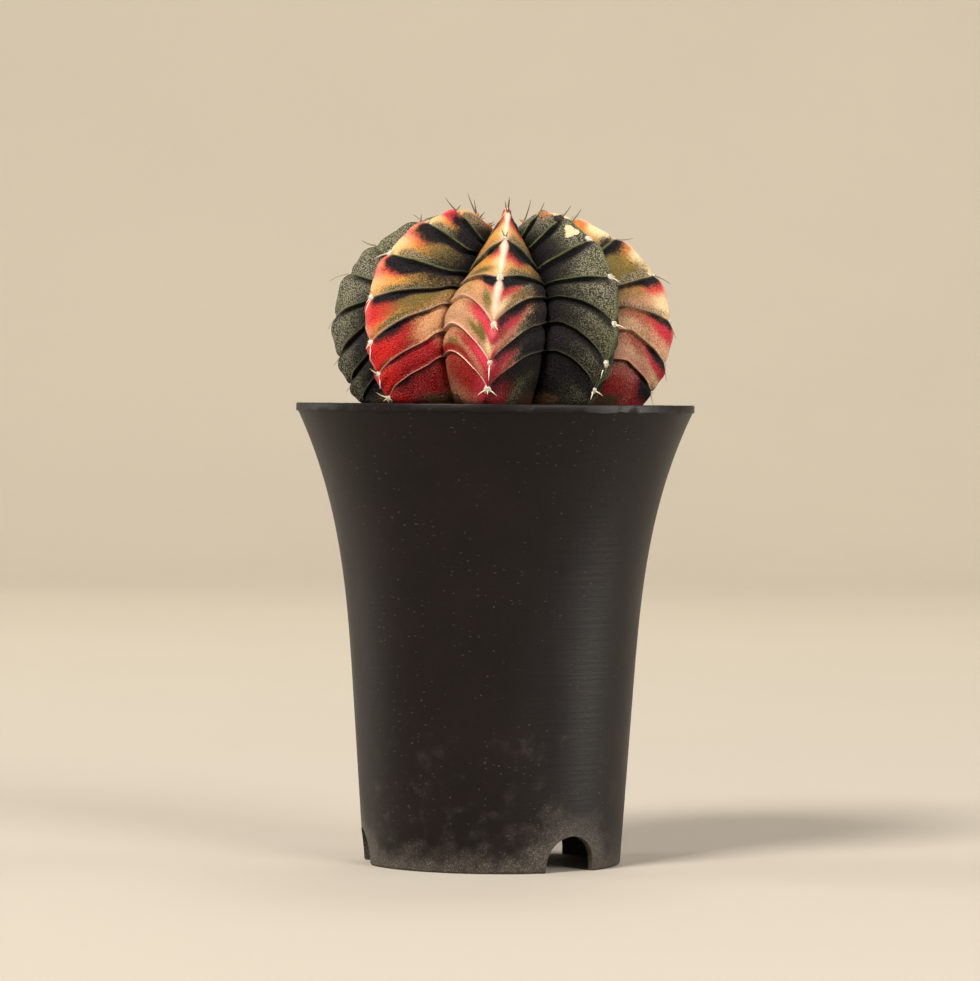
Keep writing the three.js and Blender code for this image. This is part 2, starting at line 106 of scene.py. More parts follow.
def smoothstep(low: Numbers, high: Numbers, value: Numbers) -> Numbers:
    """Return 0 below low, 1 above high and a smooth rise between them."""
    t = np.clip((value - low) / (high - low), 0.0, 1.0)
    return t * t * (3 - 2 * t)


def hump(value: Numbers, centre: Numbers, width: float) -> Numbers:
    """Return a bell curve of height 1 round the centre."""
    return np.exp(-(((value - centre) / width) ** 2))


def heading(azimuth: float) -> Vector:
    """Return the level unit vector at an azimuth in radians."""
    return Vector((math.sin(azimuth), -math.cos(azimuth), 0.0))


def upright_to(aim: Vector) -> Matrix:
    """Return the turn that brings the upward direction to another."""
    return UP.rotation_difference(aim).to_matrix().to_4x4()


def tint(code: str) -> tuple[float, float, float, float]:
    """Return the linear colour of a display colour, by the standard display curve.

    Args:
        code: red, green and blue as two hexadecimal digits each.

    Returns:
        The linear red, green, blue and an alpha of 1.
    """
    shares = [int(code[i : i + 2], 16) / 255 for i in (0, 2, 4)]
    linear = [s / 12.92 if s <= 0.04045 else ((s + 0.055) / 1.055) ** 2.4 for s in shares]
    return (*linear, 1.0)


class Shading:
    """Adds nodes to one node tree and joins them, so that a finish reads from top to bottom."""

    def __init__(self, tree: bpy.types.NodeTree) -> None:
        """Take the material's or group's node tree to write in."""
        self.tree = tree

    def node(self, kind: str, inputs: dict | None = None, **settings) -> bpy.types.Node:
        """Add one node.

        Args:
            kind: the node's type name without its ShaderNode prefix.
            inputs: values or sockets by input name or number.
            settings: the node's own properties.

        Returns:
            The new node.
        """
        made = self.tree.nodes.new("ShaderNode" + kind)
        for name, value in settings.items():
            setattr(made, name, value)
        for name, value in (inputs or {}).items():
            self.feed(made.inputs[name], value)
        return made

    def feed(self, socket: Socket, value: Signal) -> None:
        """Set a socket to a constant, or link it where the value is a socket itself."""
        if isinstance(value, bpy.types.NodeSocket):
            self.tree.links.new(value, socket)
        else:
            socket.default_value = value

    def math(self, operation: str, first: Signal, second: Signal = 0.0) -> Socket:
        """Return the result of one sum on two numbers or sockets."""
        return self.node("Math", {0: first, 1: second}, operation=operation).outputs[0]

    def times(self, value: Signal, amount: Signal) -> Socket:
        """Return a value times an amount."""
        return self.math("MULTIPLY", value, amount)

    def total(self, first: Signal, *others: Signal) -> Signal:
        """Return the sum of several values."""
        for other in others:
            first = self.math("ADD", first, other)
        return first

    def centred(self, value: Signal) -> Socket:
        """Return a value round 0.5 as a value round 0."""
        return self.math("SUBTRACT", value, 0.5)

    def ramp(
        self, low: Signal, high: Signal, value: Signal, start: float = 0.0, end: float = 1.0
    ) -> Socket:
        """Return a smooth rise from start at low to end at high."""
        inputs = {"Value": value, 1: low, 2: high, 3: start, 4: end}
        return self.node("MapRange", inputs, interpolation_type="SMOOTHSTEP").outputs[0]

    def blend(self, amount: Signal, under: Signal, over: Signal, mode: str = "MIX") -> Socket:
        """Return the colour that over makes on under, by the amount."""
        made = self.node("Mix", data_type="RGBA", blend_type=mode)
        self.feed(made.inputs[0], amount)
        self.feed(made.inputs[6], under)
        self.feed(made.inputs[7], over)
        return made.outputs[2]

    def dim(self, colour: Signal, share: Signal) -> Socket:
        """Return a colour times a share of its brightness."""
        return self.blend(1.0, colour, share, "MULTIPLY")

    def noise(
        self, vector: Socket, scale: Signal, detail: float = 3.0, roughness: float = 0.55
    ) -> Socket:
        """Return a cloudy value round 0.5."""
        inputs = {"Vector": vector, "Scale": scale, "Detail": detail, "Roughness": roughness}
        return self.node("TexNoise", inputs).outputs["Fac"]

    def attribute(self, name: str) -> Socket:
        """Return the value that the mesh holds under a name."""
        return self.node("Attribute", attribute_name=name).outputs["Fac"]

    def place(self) -> Socket:
        """Return the object coordinates, in metres."""
        return self.node("TexCoord").outputs["Object"]

    def map(self, name: str) -> Socket:
        """Return the mesh's UV map of a name."""
        return self.node("UVMap", uv_map=name).outputs[0]

    def part(self, vector: Socket, number: int) -> Socket:
        """Return one of the three numbers of a vector or a colour."""
        return self.node("SeparateXYZ", {0: vector}).outputs[number]

    def stretch(self, vector: Socket, scales: Triple) -> Socket:
        """Return the vector scaled along each axis."""
        inputs = {0: vector, 1: scales}
        return self.node("VectorMath", inputs, operation="MULTIPLY").outputs[0]

    def group(self, tree: bpy.types.NodeTree, vector: Socket, **inputs: float) -> bpy.types.Node:
        """Place a shared effect and set its inputs.

        Args:
            tree: the effect's node group.
            vector: where the effect is read.
            inputs: its numbers by name.

        Returns:
            The new node.
        """
        return self.node("Group", {"Vector": vector, **inputs}, node_tree=tree)


class Effects:
    """The node groups that several finishes share, each built once."""

    def __init__(self) -> None:
        """Build the three groups."""
        self.mottle = self._mottle()
        self.flecks = self._flecks()
        self.grain = self._grain()

    @staticmethod
    def _start(
        name: str, numbers: dict[str, float], results: tuple[str, ...]
    ) -> tuple[bpy.types.NodeTree, Shading, bpy.types.Node, bpy.types.Node]:
        """Make an empty group.

        Args:
            name: the group's name.
            numbers: its number inputs with their defaults; a Vector input comes first.
            results: its number outputs.

        Returns:
            The tree, its Shading writer, its input node and its output node.
        """
        tree = bpy.data.node_groups.new(name, "ShaderNodeTree")
        add = tree.interface.new_socket
        add("Vector", in_out="INPUT", socket_type="NodeSocketVector")
        for number, default in numbers.items():
            add(number, in_out="INPUT", socket_type="NodeSocketFloat").default_value = default
        for result in results:
            add(result, in_out="OUTPUT", socket_type="NodeSocketFloat")
        ends = [tree.nodes.new(kind) for kind in ("NodeGroupInput", "NodeGroupOutput")]
        return tree, Shading(tree), *ends

    @staticmethod
    def _cells(write: Shading, given: bpy.types.Node) -> bpy.types.Node:
        """Return a cell pattern that reads the group's own Vector and Scale."""
        return write.node("TexVoronoi", {name: given.outputs[name] for name in ("Vector", "Scale")})

    def _mottle(self) -> bpy.types.NodeTree:
        """Return soft patches, from 0 to 1, with their contrast as an input."""
        tree, write, given, result = self._start(
            "Mottle", {"Scale": 100.0, "Contrast": 0.2}, ("Mask",)
        )
        cloud = write.noise(given.outputs["Vector"], given.outputs["Scale"], 4.0, 0.6)
        low = write.math("SUBTRACT", 0.5, given.outputs["Contrast"])
        high = write.math("ADD", 0.5, given.outputs["Contrast"])
        write.feed(result.inputs["Mask"], write.ramp(low, high, cloud))
        return tree

    def _flecks(self) -> bpy.types.NodeTree:
        """Return small separate spots, in a given share of the cells of a cell pattern."""
        tree, write, given, result = self._start(
            "Flecks", {"Scale": 500.0, "Share": 0.1, "Size": 0.3}, ("Mask",)
        )
        cells = self._cells(write, given)
        chance = write.part(cells.outputs["Color"], 0)
        chosen = write.math("LESS_THAN", chance, given.outputs["Share"])
        near = write.math("DIVIDE", cells.outputs["Distance"], given.outputs["Size"])
        spot = write.ramp(0.45, 1.0, near, 1.0, 0.0)
        write.feed(result.inputs["Mask"], write.times(spot, chosen))
        return tree

    def _grain(self) -> bpy.types.NodeTree:
        """Return packed granules: their rounded height, and how much each one stands out."""
        tree, write, given, result = self._start(
            "Grain", {"Scale": 2000.0}, ("Height", "Light", "Chance")
        )
        cells = self._cells(write, given)
        dome = write.ramp(0.1, 0.75, cells.outputs["Distance"], 1.0, 0.0)
        chance = write.part(cells.outputs["Color"], 1)
        uneven = write.total(write.times(chance, 0.6), 0.4)
        write.feed(result.inputs["Height"], dome)
        write.feed(result.inputs["Light"], write.times(dome, uneven))
        write.feed(result.inputs["Chance"], chance)
        return tree


class Coat(Shading):
    """The writer of one material, from its colour to its relief."""

    def __init__(self, name: str) -> None:
        """Start a material of a name."""
        self.material = bpy.data.materials.new(name)
        self.material.use_nodes = True
        super().__init__(self.material.node_tree)
        self.shader = self.tree.nodes["Principled BSDF"]

    def finish(self, **values: Signal) -> bpy.types.Material:
        """Set the shader's own inputs.

        Args:
            values: a constant or a socket by the input's name, with underscores for spaces.

        Returns:
            The finished material.
        """
        for name, value in values.items():
            self.feed(self.shader.inputs[name.replace("_", " ")], value)
        return self.material

    def bump(self, height: Signal, depth: float) -> Socket:
        """Return the normal of a fine relief.

        Args:
            height: the relief, from 0 to 1.
            depth: how deep it is, in metres.

        Returns:
            The normal, for the shader's Normal input.
        """
        return self.node("Bump", {"Height": height, "Distance": depth, "Strength": 1.0}).outputs[0]


@dataclass(frozen=True)
class MouldedPlastic:
    """Black nursery plastic: satin, scuffed along the way it was handled, dusty at the foot.

    A share says how strongly a layer covers what lies under it.
    """

    body: str = "0E0909"
    worn: str = "1C1313"
    scuff: str = "8E8880"
    dust: str = "ABA192"
    roughness: float = 0.4
    specular: float = 0.17
    cloud_scale: float = 55.0
    patch_scale: float = 70.0
    drift_scale: float = 260.0
    grain_scale: float = 900.0
    dash_scale: float = 1.5
    dash_stretch: Triple = (0.35, 1.6, 1.0)
    draw_stretch: Triple = (0.05, 1.1, 1.0)
    powder_scale: float = 4600.0
    speck_scale: float = 800.0
    worn_share: float = 0.35
    scuff_share: float = 0.22
    dust_share: float = 0.3
    speck_share: float = 0.16
    relief: float = 0.00004

    def build(self, effects: Effects) -> bpy.types.Material:
        """Return the material.

        The mesh has a Wall map in millimetres round and up the wall, and a dust value.

        Args:
            effects: the shared node groups.

        Returns:
            The finished material.
        """
        write = Coat("moulded_plastic")
        place, wall = write.place(), write.map("Wall")
        cloud = write.group(effects.mottle, place, Scale=self.cloud_scale, Contrast=0.28).outputs[0]
        worn = write.times(cloud, self.worn_share)
        colour = write.blend(worn, tint(self.body), tint(self.worn))

        dashes = write.stretch(wall, self.dash_stretch)
        scuffs = write.group(effects.flecks, dashes, Scale=self.dash_scale, Share=0.3, Size=0.2)
        handled = write.ramp(0.38, 0.62, write.noise(place, self.patch_scale, 2.0))
        scuffs = write.times(write.times(scuffs.outputs[0], handled), self.scuff_share)
        colour = write.blend(scuffs, colour, tint(self.scuff))

        drift = write.centred(write.noise(place, self.drift_scale))
        settled = write.total(write.attribute("dust"), drift)
        specks = write.group(effects.flecks, place, Scale=self.powder_scale, Share=0.5, Size=0.5)
        powder = write.times(write.ramp(0.25, 0.95, settled), write.total(specks.outputs[0], 0.3))
        colour = write.blend(write.times(powder, self.dust_share), colour, tint(self.dust))

        lone = write.group(effects.flecks, place, Scale=self.speck_scale, Share=0.08, Size=0.18)
        lone = write.times(lone.outputs[0], self.speck_share)
        colour = write.blend(lone, colour, tint(self.scuff))

        dull = write.total(write.times(cloud, 0.08), self.roughness, write.times(powder, 0.35))
        drawn = write.noise(write.stretch(wall, self.draw_stretch), 1.0, 3.0)
        grain = write.noise(place, self.grain_scale, 2.0)
        height = write.total(write.times(grain, 0.5), drawn)
        return write.finish(
            Base_Color=colour, Roughness=dull, Specular_IOR_Level=self.specular,
            Normal=write.bump(height, self.relief),
        )


@dataclass(frozen=True)
class PottingMix:
    """Dry potting mix: dark crumbs of bark and coir with pale grit between them."""

    dark: str = "2C2119"
    light: str = "6B543D"
    grit: str = "A79A83"
    roughness: float = 0.95
    cloud_scale: float = 420.0
    grit_scale: float = 700.0
    grit_share: float = 0.7
    crumb_scale: float = 900.0
    relief: float = 0.0004

    def build(self, effects: Effects) -> bpy.types.Material:
        """Return the material.

        Args:
            effects: the shared node groups.

        Returns:
            The finished material.
        """
        write = Coat("potting_mix")
        place = write.place()
        cloud = write.group(effects.mottle, place, Scale=self.cloud_scale, Contrast=0.2).outputs[0]
        colour = write.blend(cloud, tint(self.dark), tint(self.light))
        grit = write.group(effects.flecks, place, Scale=self.grit_scale, Share=0.16, Size=0.42)
        grit = write.times(grit.outputs[0], self.grit_share)
        colour = write.blend(grit, colour, tint(self.grit))
        grain = write.group(effects.grain, place, Scale=self.crumb_scale)
        height = write.total(grain.outputs["Height"], cloud)
        return write.finish(
            Base_Color=colour, Roughness=self.roughness, Normal=write.bump(height, self.relief)
        )


@dataclass(frozen=True)
class Crumb:
    """Loose grains on the soil, from bark brown to pale pumice by each grain's shade value."""

    bark: str = "3A2A1D"
    sand: str = "8B7456"
    pumice: str = "CFC6B4"
    roughness: float = 0.9
    cloud_scale: float = 1500.0
    relief: float = 0.0002

    def build(self, effects: Effects) -> bpy.types.Material:
        """Return the material.

        Args:
            effects: the shared node groups.

        Returns:
            The finished material.
        """
        write = Coat("loose_grains")
        shade = write.attribute("shade")
        colour = write.blend(write.ramp(0.35, 0.6, shade), tint(self.bark), tint(self.sand))
        colour = write.blend(write.ramp(0.82, 0.9, shade), colour, tint(self.pumice))
        cloud = write.group(effects.mottle, write.place(), Scale=self.cloud_scale, Contrast=0.3)
        cloud = cloud.outputs[0]
        colour = write.dim(colour, write.ramp(0.0, 1.0, cloud, 0.6, 1.0))
        return write.finish(
            Base_Color=colour, Roughness=self.roughness, Normal=write.bump(cloud, self.relief)
        )


class Unevenness:
    """The uneven values that the layers of the skin share, each made once."""

    def __init__(self, write: Shading, effects: Effects, skin: "VariegatedSkin") -> None:
        """Make the values.

        Args:
            write: the skin's node writer.
            effects: the shared node groups.
            skin: the skin, for its scales.
        """
        self.place = write.place()
        self.grain = write.group(effects.grain, self.place, Scale=skin.papilla_scale)
        self.coarse = write.centred(write.noise(self.place, skin.coarse_scale, 4.0, 0.65))
        self.fine = write.centred(write.noise(self.place, skin.fine_scale, 3.0, 0.6))
        stipple = write.centred(self.grain.outputs["Chance"])
        self.mild = write.total(write.times(self.coarse, 0.45), write.times(stipple, 0.3))
        self.strong = write.total(
            write.times(self.coarse, 0.8), write.times(stipple, 0.4), write.times(self.fine, 0.4)
        )


@dataclass(frozen=True)
class VariegatedSkin:
    """The plant's skin: pigments over tan tissue, with fine papillae and pale cross ridges.

    Painted shade darkens its folds and painted glints light its papillae. A pair gives the start
    and the end of a smooth fall, in bands from a ridge or in ribs from a crest.
    """

    tan: str = "BC8F66"
    flesh: str = "DA9A8A"
    gold: str = "D09440"
    cream: str = "EED6A6"
    scarlet: str = "DA1C14"
    rose: str = "C83850"
    crimson: str = "8E0513"
    olive: str = "6B5C2B"
    verge: str = "343A1B"
    green: str = "24231A"
    moss: str = "42481F"
    black: str = "130D10"
    # Dust colours the pale papillae and their painted glints on dark skin, and blush on pale skin.
    dust: str = "C6BBA8"
    papilla_glint_on_black: str = "A39CA4"
    ridge: str = "636D41"
    blush: str = "F0C6B4"
    cork: str = "4B3624"
    scar: str = "DBC29C"
    papilla_scale: float = 3500.0
    coarse_scale: float = 300.0
    fine_scale: float = 1300.0
    moss_scale: float = 130.0
    ridge_scale: float = 200.0
    cork_scale: float = 420.0
    cork_stretch: Triple = (1.0, 1.0, 2.6)
    cork_relief: float = 6.0
    green_share: float = 0.85
    # How bright the skin stays under the fullest painted shade.
    fold_light: float = 0.18
    thin_ridge: Pair = (0.002, 0.024)
    blushed_ridge: Pair = (0.016, 0.055)
    stripe_edge: Pair = (0.0, 0.042)
    keel_edge: Pair = (0.002, 0.013)
    specular: float = 0.07
    relief: float = 0.00012

    def build(self, effects: Effects) -> bpy.types.Material:
        """Return the material.

        The mesh has a Skin map, whose first number counts the ribs round the plant and whose
        second counts the bands up it, a value for each pigment and one for the painted shade.

        Args:
            effects: the shared node groups.

        Returns:
            The finished material.
        """
        write = Coat("variegated_skin")
        uneven = Unevenness(write, effects, self)
        granule, light = uneven.grain.outputs["Height"], uneven.grain.outputs["Light"]
        colour, dark, black = self._pigmented(write, uneven, effects)
        colour = self._papillae_and_glints(write, light, colour, dark, black)
        # Painted shade from the mesh: darker under the cross ridges, in the grooves and near the
        # rim.
        folded = write.ramp(0.0, 1.0, write.attribute("fold"), 1.0, self.fold_light)
        # Painted shade between the papillae: darker towards each one's edge.
        for share in (write.ramp(0.0, 0.7, granule, 0.78, 1.0), folded):
            colour = write.dim(colour, share)
        colour = self._lined(write, uneven, colour)
        corky = self._ragged(write, "cork", uneven.strong, 0.2)
        scarred = self._ragged(write, "scar", uneven.mild, 0.05)
        for share, over in ((corky, self.cork), (scarred, self.scar)):
            colour = write.blend(share, colour, tint(over))

        dull = write.total(write.ramp(0.0, 1.0, light, 0.56, 0.7), write.times(dark, 0.14))
        drawn = write.stretch(uneven.place, self.cork_stretch)
        wrinkles = write.noise(drawn, self.cork_scale, 5.0, 0.7)
        wrinkles = write.times(wrinkles, write.times(corky, self.cork_relief))
        height = write.total(granule, write.times(uneven.fine, 0.6), wrinkles)
        return write.finish(
            Base_Color=colour, Roughness=dull, Specular_IOR_Level=self.specular,
            Normal=write.bump(height, self.relief),
        )

    def _ragged(self, write: Shading, name: str, tear: Socket, soft: float) -> Socket:
        """Return a pigment's share with a torn, stippled edge.

        Args:
            write: the node writer.
            name: the pigment's value on the mesh.
            tear: a value round 0 that moves the edge about.
            soft: half the width of the edge.

        Returns:
            The share, from 0 to 1.
        """
        return write.ramp(0.5 - soft, 0.5 + soft, write.total(write.attribute(name), tear))

    def _pigmented(
        self, write: Shading, uneven: Unevenness, effects: Effects
    ) -> tuple[Socket, Socket, Socket]:
        """Lay the pigments over the tissue, from the palest to the darkest.

        Args:
            write: the node writer.
            uneven: the shared uneven values.
            effects: the shared node groups.

        Returns:
            The colour, how dark it is from 0 to 1, and the share of the black pigment.
        """
        mild, strong = uneven.mild, uneven.strong
        red = write.blend(write.attribute("scarlet"), tint(self.rose), tint(self.scarlet))
        red = write.blend(write.attribute("deep"), red, tint(self.crimson))
        colour = write.blend(write.attribute("low"), tint(self.tan), tint(self.flesh))
        for name, tear, soft, over in (
            ("gold", strong, 0.5, tint(self.gold)),
            ("cream", mild, 0.4, tint(self.cream)),
            ("red", mild, 0.5, red),
            ("olive", mild, 0.45, tint(self.olive)),
        ):
            colour = write.blend(self._ragged(write, name, tear, soft), colour, over)
        mossy = write.group(effects.mottle, uneven.place, Scale=self.moss_scale, Contrast=0.22)
        mossy = write.times(mossy.outputs[0], self.green_share)
        leafy = write.blend(mossy, tint(self.green), tint(self.moss))
        green = self._ragged(write, "green", strong, 0.25)
        verge = write.times(self._ragged(write, "verge", mild, 0.25), self.green_share)
        black = self._ragged(write, "black", mild, 0.46)
        for share, over in ((green, leafy), (verge, tint(self.verge)), (black, tint(self.black))):
            colour = write.blend(share, colour, over)
        dark = write.math("MAXIMUM", write.math("MAXIMUM", green, black), verge)
        return colour, dark, black

    def _papillae_and_glints(
        self, write: Shading, light: Socket, colour: Socket, dark: Socket, black: Socket
    ) -> Socket:
        """Return the colour with pale papillae and painted glints, most on green and least on
        black.

        Args:
            write: the node writer.
            light: how much each papilla stands out.
            colour: the colour so far.
            dark: how dark it is, from 0 to 1.
            black: the share of the black pigment.

        Returns:
            The new colour.
        """
        # The pale colour of the papillae and of their painted glints.
        pale = write.blend(dark, tint(self.blush), tint(self.dust))
        pale = write.blend(black, pale, tint(self.papilla_glint_on_black))
        lit = write.ramp(0.0, 1.0, dark, 0.08, 0.75)
        lit = write.times(lit, write.ramp(0.0, 0.8, black, 1.0, 0.1))
        return write.blend(write.times(light, lit), colour, pale)

    def _lined(self, write: Shading, uneven: Unevenness, colour: Socket) -> Socket:
        """Return the colour with the cross ridges, the crests' pale stripes and green keels.

        Args:
            write: the node writer.
            uneven: the shared uneven values.
            colour: the colour so far.

        Returns:
            The new colour.
        """
        skin = write.map("Skin")
        around, band = write.part(skin, 0), write.part(skin, 1)
        blushed = write.attribute("blush")
        across = write.math("ABSOLUTE", write.math("SUBTRACT", around, write.math("ROUND", around)))
        from_ridge = write.math("PINGPONG", band, 0.5)
        edge = write.total(from_ridge, write.times(uneven.fine, 0.03))
        thin = write.ramp(*self.thin_ridge, edge, 0.7, 0.0)
        thick = write.ramp(*self.blushed_ridge, edge, 1.0, 0.0)
        line = write.node("Mix", {0: blushed, 2: thin, 3: thick}).outputs[0]
        for share in (
            write.ramp(0.32, 0.5, across, 1.0, 0.25),
            write.ramp(0.3, 0.7, write.noise(uneven.place, self.ridge_scale), 0.6, 1.0),
            write.attribute("ridged"),
        ):
            line = write.times(line, share)
        ridge = write.blend(blushed, tint(self.ridge), tint(self.blush))
        colour = write.blend(line, colour, ridge)

        wander = write.total(across, write.times(uneven.coarse, 0.02))
        wander = write.times(wander, write.ramp(0.0, 0.3, from_ridge, 2.0, 1.0))
        for name, fall, over in (
            ("stripe", self.stripe_edge, self.blush),
            ("keel", self.keel_edge, self.ridge),
        ):
            share = write.times(write.ramp(*fall, wander, 1.0, 0.0), write.attribute(name))
            colour = write.blend(share, colour, tint(over))
        return colour


@dataclass(frozen=True)
class Wool:
    """The felt of an areole: off-white, warmer towards the crown, brown on a withered bud."""

    white: str = "E9E1D0"
    warm: str = "D9A066"
    withered: str = "3A2620"
    roughness: float = 0.95
    felt_scale: float = 4200.0
    relief: float = 0.00012

    def build(self, effects: Effects) -> bpy.types.Material:
        """Return the material.

        The mesh has a young value: 0 is low on the plant, 1 at its crown and 2 a withered bud.

        Args:
            effects: the shared node groups.

        Returns:
            The finished material.
        """
        write = Coat("areole_wool")
        young = write.attribute("young")
        colour = write.blend(young, tint(self.white), tint(self.warm))
        colour = write.blend(write.ramp(1.0, 2.0, young), colour, tint(self.withered))
        felt = write.group(effects.grain, write.place(), Scale=self.felt_scale).outputs["Height"]
        # Painted shade: the felt is darker between its granules.
        colour = write.dim(colour, write.ramp(0.0, 0.9, felt, 0.6, 1.0))
        return write.finish(
            Base_Color=colour, Roughness=self.roughness, Normal=write.bump(felt, self.relief)
        )


@dataclass(frozen=True)
class Horn:
    """A spine: ivory when old and low on the plant, brown when young, darker at its tip."""

    ivory: str = "E6D3B4"
    brown: str = "5A3C26"
    tip: str = "33231A"
    roughness: float = 0.5
    cloud_scale: float = 2500.0

    def build(self, effects: Effects) -> bpy.types.Material:
        """Return the material.

        The mesh has a young value, and an along value that runs from 0 at the root to 1.

        Args:
            effects: the shared node groups.

        Returns:
            The finished material.
        """
        write = Coat("horny_spine")
        young = write.attribute("young")
        colour = write.blend(young, tint(self.ivory), tint(self.brown))
        dark = write.ramp(0.55, 1.0, write.attribute("along"))
        dark = write.times(dark, write.ramp(0.0, 0.6, young, 0.2, 0.9))
        colour = write.blend(dark, colour, tint(self.tip))
        cloud = write.group(effects.mottle, write.place(), Scale=self.cloud_scale, Contrast=0.3)
        colour = write.dim(colour, write.ramp(0.0, 1.0, cloud.outputs[0], 0.8, 1.0))
        return write.finish(Base_Color=colour, Roughness=self.roughness)


@dataclass(frozen=True)
class Plaster:
    """The plain pale ground that the pot stands on, deeper in tone in front, paler from behind it.
    """

    pale: str = "D3CAB9"
    near: str = "B3ABA0"
    roughness: float = 0.85
    cloud_scale: float = 3.0
    pale_from: float = 1.4

    def build(self, effects: Effects) -> bpy.types.Material:
        """Return the material.

        Args:
            effects: the shared node groups.

        Returns:
            The finished material.
        """
        write = Coat("pale_ground")
        place = write.place()
        # Painted shade: the floor is darker in front, where the lamps light it most brightly.
        behind = write.ramp(0.0, self.pale_from, write.part(place, 1))
        colour = write.blend(behind, tint(self.near), tint(self.pale))
        cloud = write.group(effects.mottle, place, Scale=self.cloud_scale, Contrast=0.4)
        colour = write.dim(colour, write.ramp(0.0, 1.0, cloud.outputs[0], 0.97, 1.0))
        return write.finish(Base_Color=colour, Roughness=self.roughness)


def turned(points: list[Pair], segments: int) -> bmesh.types.BMesh:
    """Return the solid that a section makes when it is turned about the upright axis.

    Args:
        points: the section's radii and heights, from the axis and back to it.
        segments: how many steps go round.

    Returns:
        The closed shape, with its faces outwards.
    """
    shape = bmesh.new()
    verts = [shape.verts.new((r, 0.0, z)) for r, z in points]
    edges = [shape.edges.new(pair) for pair in zip(verts, verts[1:])]
    bmesh.ops.spin(
        shape, geom=verts + edges, cent=(0, 0, 0), axis=(0, 0, 1),
        angle=2 * math.pi, steps=segments, use_merge=True,
    )
    bmesh.ops.remove_doubles(shape, verts=shape.verts, dist=MERGE_DISTANCE)
    bmesh.ops.recalc_face_normals(shape, faces=shape.faces)
    return shape


def finish_piece(
    shape: bmesh.types.BMesh,
    name: str,
    material: bpy.types.Material,
    sharp_angle: float = 180.0,
) -> bpy.types.Object:
    """Bring a shape to metres and make it an object at the origin.

    Args:
        shape: the mesh in millimetres; it is freed.
        name: the piece's name.
        material: its finish.
        sharp_angle: the angle in degrees past which an edge stays sharp.

    Returns:
        The new object.
    """
    bmesh.ops.scale(shape, vec=(MM, MM, MM), verts=shape.verts)
    for face in shape.faces:
        face.smooth = True
    for edge in shape.edges:
        edge.smooth = edge.calc_face_angle(0.0) < math.radians(sharp_angle)
    mesh = bpy.data.meshes.new(name)
    shape.to_mesh(mesh)
    shape.free()
    mesh.materials.append(material)
    piece = bpy.data.objects.new(name, mesh)
    bpy.context.scene.collection.objects.link(piece)
    return piece


def hold(mesh: bpy.types.Mesh, name: str, values: np.ndarray) -> None:
    """Store one number for each vertex of a mesh, under a name that its finish reads."""
    attribute = mesh.attributes.new(name, "FLOAT", "POINT")
    attribute.data.foreach_set("value", np.asarray(values, np.float32))


def join_frame(piece: bpy.types.Object, slot: str, *nodes: str) -> None:
    """Let a piece ride on the body, and hide the solids that it stands for."""
    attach(piece, BODY)
    if nodes:
        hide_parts(*nodes)


def report(piece: bpy.types.Object) -> None:
    """Log a piece's name and how many triangles it has."""
    triangles = sum(len(polygon.vertices) - 2 for polygon in piece.data.polygons)
    log.info("%s: %d triangles", piece.name, triangles)


